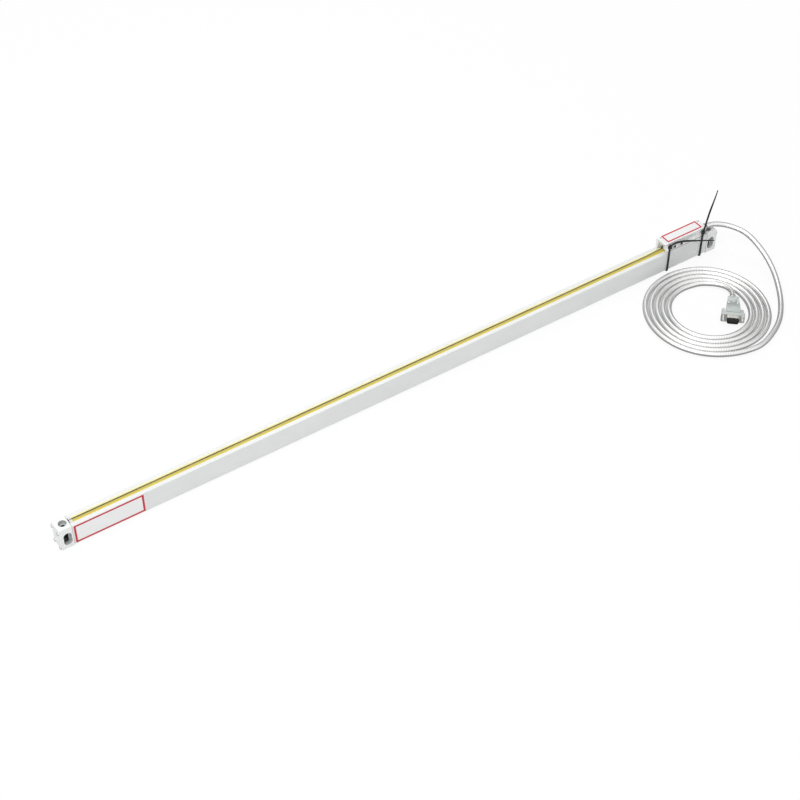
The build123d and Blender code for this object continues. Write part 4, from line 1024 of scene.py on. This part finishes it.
FILM_THICKNESS = 0.1
INK_THICKNESS = 0.03


def label(name, low, high, inset, border, surface, place, body, slot):
    """Film with a printed border on it that stands a little proud."""
    edge = rounded_outline(low, high, 0.8)
    flat_piece(name + "_film", edge, None, surface, FILM_THICKNESS, place, body, slot, finish["film"])
    outer, inner = [
        rounded_outline([c + d for c in low], [c - d for c in high], radius)
        for d, radius in ((inset, 0.6), (inset + border, 0.3))
    ]
    printed = surface + FILM_THICKNESS
    flat_piece(name + "_border", outer, inner, printed, INK_THICKNESS, place, body, slot, finish["ink"])


label("front_label", (-476.6, 2.4), (-385.8, 30.8), 0.2, 2.6, 9.65, lambda u, v, h: (u, -h, v), "scale", "housing")
label("head_label", (408.6, -7.0), (468.5, 8.7), 0.1, 2.2, HEAD_TOP, lambda u, v, h: (u, v, h), "reader", "head")

# Grey seal between the head and its end cap, and the two small plugs in the head's top.
half_arch = [(9.14, 33.42), (9.14, 47.6), (8.8, 47.94)]
arch = [(-y, z) for y, z in half_arch] + half_arch[::-1] + [(8.5, 33.42), (8.5, 47.3), (-8.5, 47.3), (-8.5, 33.42)]
flat_piece("cap_seal", arch, None, 470.86, 0.28, lambda u, v, h: (h, u, v), "reader", "gasket", finish["gasket"])
turns = [math.radians(15 * k) for k in range(24)]
for word, x, y in (("left", 406.5, 6.2), ("right", 472.3, 5.6)):
    ring, hollow = [[(x + r * math.cos(a), y + r * math.sin(a)) for a in turns] for r in (1.05, 0.6)]
    flat_piece(
        "top_plug_" + word, ring, hollow, HEAD_TOP, 0.12, lambda u, v, h: (u, v, h),
        "reader", "gasket", finish["gasket"],
    )


# Floor, backdrop and light

# How much of the floor's seen colour is its own glow, and how bright metal mirrors it.
FLOOR_GLOW = 0.84
FLOOR_IN_METAL = 0.36
# The world's light on dull surfaces, and how bright metal mirrors its walls and its white sheet.
ROOM_LIGHT = 0.66
WALL_LEVEL, SHEET_LEVEL = 0.42, 1.15
SHEET_WAY = (-0.410, -0.603, 0.684)
SHEET_EDGE = 0.45


def backdrop_material():
    """White paper floor: shown near white, and it keeps the shadows."""
    material, tree, shader = new_material("white_paper", Roughness=0.9)
    shader.inputs["Base Color"].default_value = linear("#FAFAFA")
    glow = add(tree, "ShaderNodeEmission", sockets={"Color": (1, 1, 1, 1), "Strength": 1.0})
    path = add(tree, "ShaderNodeLightPath").outputs
    share = calc(tree, "MULTIPLY", path["Is Camera Ray"], FLOOR_GLOW)
    seen = add(tree, "ShaderNodeMixShader", {0: share, 1: shader.outputs[0], 2: glow.outputs[0]})
    # In the metal's reflections the floor is a mid grey, which draws the edges of the armour.
    card = add(tree, "ShaderNodeEmission", sockets={"Color": (1, 1, 1, 1), "Strength": FLOOR_IN_METAL})
    both = add(tree, "ShaderNodeMixShader", {0: path["Is Glossy Ray"], 1: seen.outputs[0], 2: card.outputs[0]})
    tree.links.new(both.outputs[0], tree.nodes["Material Output"].inputs["Surface"])
    return material


floor_mesh = bpy.data.meshes.new("floor")
floor_mesh.from_pydata([(x, y, -0.0001) for x, y in ((-6, -6), (6, -6), (6, 6), (-6, 6))], [], [(0, 1, 2, 3)])
floor_mesh.materials.append(backdrop_material())
floor = linked("floor", floor_mesh)

world = bpy.data.worlds.new("studio")
bpy.context.scene.world = world
world.use_nodes = True
sky = world.node_tree
path = add(sky, "ShaderNodeLightPath").outputs
backing = sky.nodes["Background"]
backing.inputs["Color"].default_value = (1, 1, 1, 1)
# A large white sheet stands on the photo's side of the studio, and grey walls on the other: round metal is white in
# its middle and grey at its edges.
toward = add(sky, "ShaderNodeTexCoord").outputs["Generated"]
sheet = add(sky, "ShaderNodeVectorMath", {0: toward}, {1: SHEET_WAY}, operation="DOT_PRODUCT")
levels = {"From Min": 0.0, "From Max": SHEET_EDGE, "To Min": WALL_LEVEL, "To Max": SHEET_LEVEL}
walls = add(sky, "ShaderNodeMapRange", {"Value": sheet.outputs["Value"]}, levels)
links = {"Value": path["Is Glossy Ray"], "To Max": walls.outputs[0]}
mirrored = add(sky, "ShaderNodeMapRange", links, {"To Min": ROOM_LIGHT})
links = {"Value": path["Is Camera Ray"], "To Min": mirrored.outputs[0]}
level = add(sky, "ShaderNodeMapRange", links, {"To Max": 1.0})
sky.links.new(level.outputs[0], backing.inputs["Strength"])


def softbox(name, place, size, power):
    """Rectangular lamp that points at the middle of the scale."""
    lamp = bpy.data.lights.new(name, "AREA")
    lamp.shape = "RECTANGLE"
    lamp.size, lamp.size_y = size
    lamp.energy = power
    holder = linked(name, lamp)
    holder.location = place
    x, y, z = place
    holder.rotation_euler = (math.atan2(math.hypot(x, y), z), 0, math.atan2(-y, -x) - math.pi / 2)


softbox("key", (-1.4, -0.6, 2.4), (1.6, 1.2), 32)
softbox("fill", (0.9, 1.2, 2.2), (1.4, 1.4), 10)

# Camera fitted to the photo's edges: a focal length of 1746 pixels on an 800 pixel frame.
camera_data = bpy.data.cameras.new("camera")
camera_data.sensor_width = 36
camera_data.lens = 78.57
camera = linked("camera", camera_data)
camera.location = (-0.9021, -1.3260, 1.5356)
camera.rotation_euler = (math.radians(45.65), 0, math.radians(-33.65))
bpy.context.scene.camera = camera
bpy.context.scene.view_settings.view_transform = "Standard"

plug_pieces = [nodes["dsub_shell"], hood, face, clamp]
plug_pieces += [fine[name] for name in ("plug_screws", "contact_pins", "knurled_screw_left", "knurled_screw_right")]
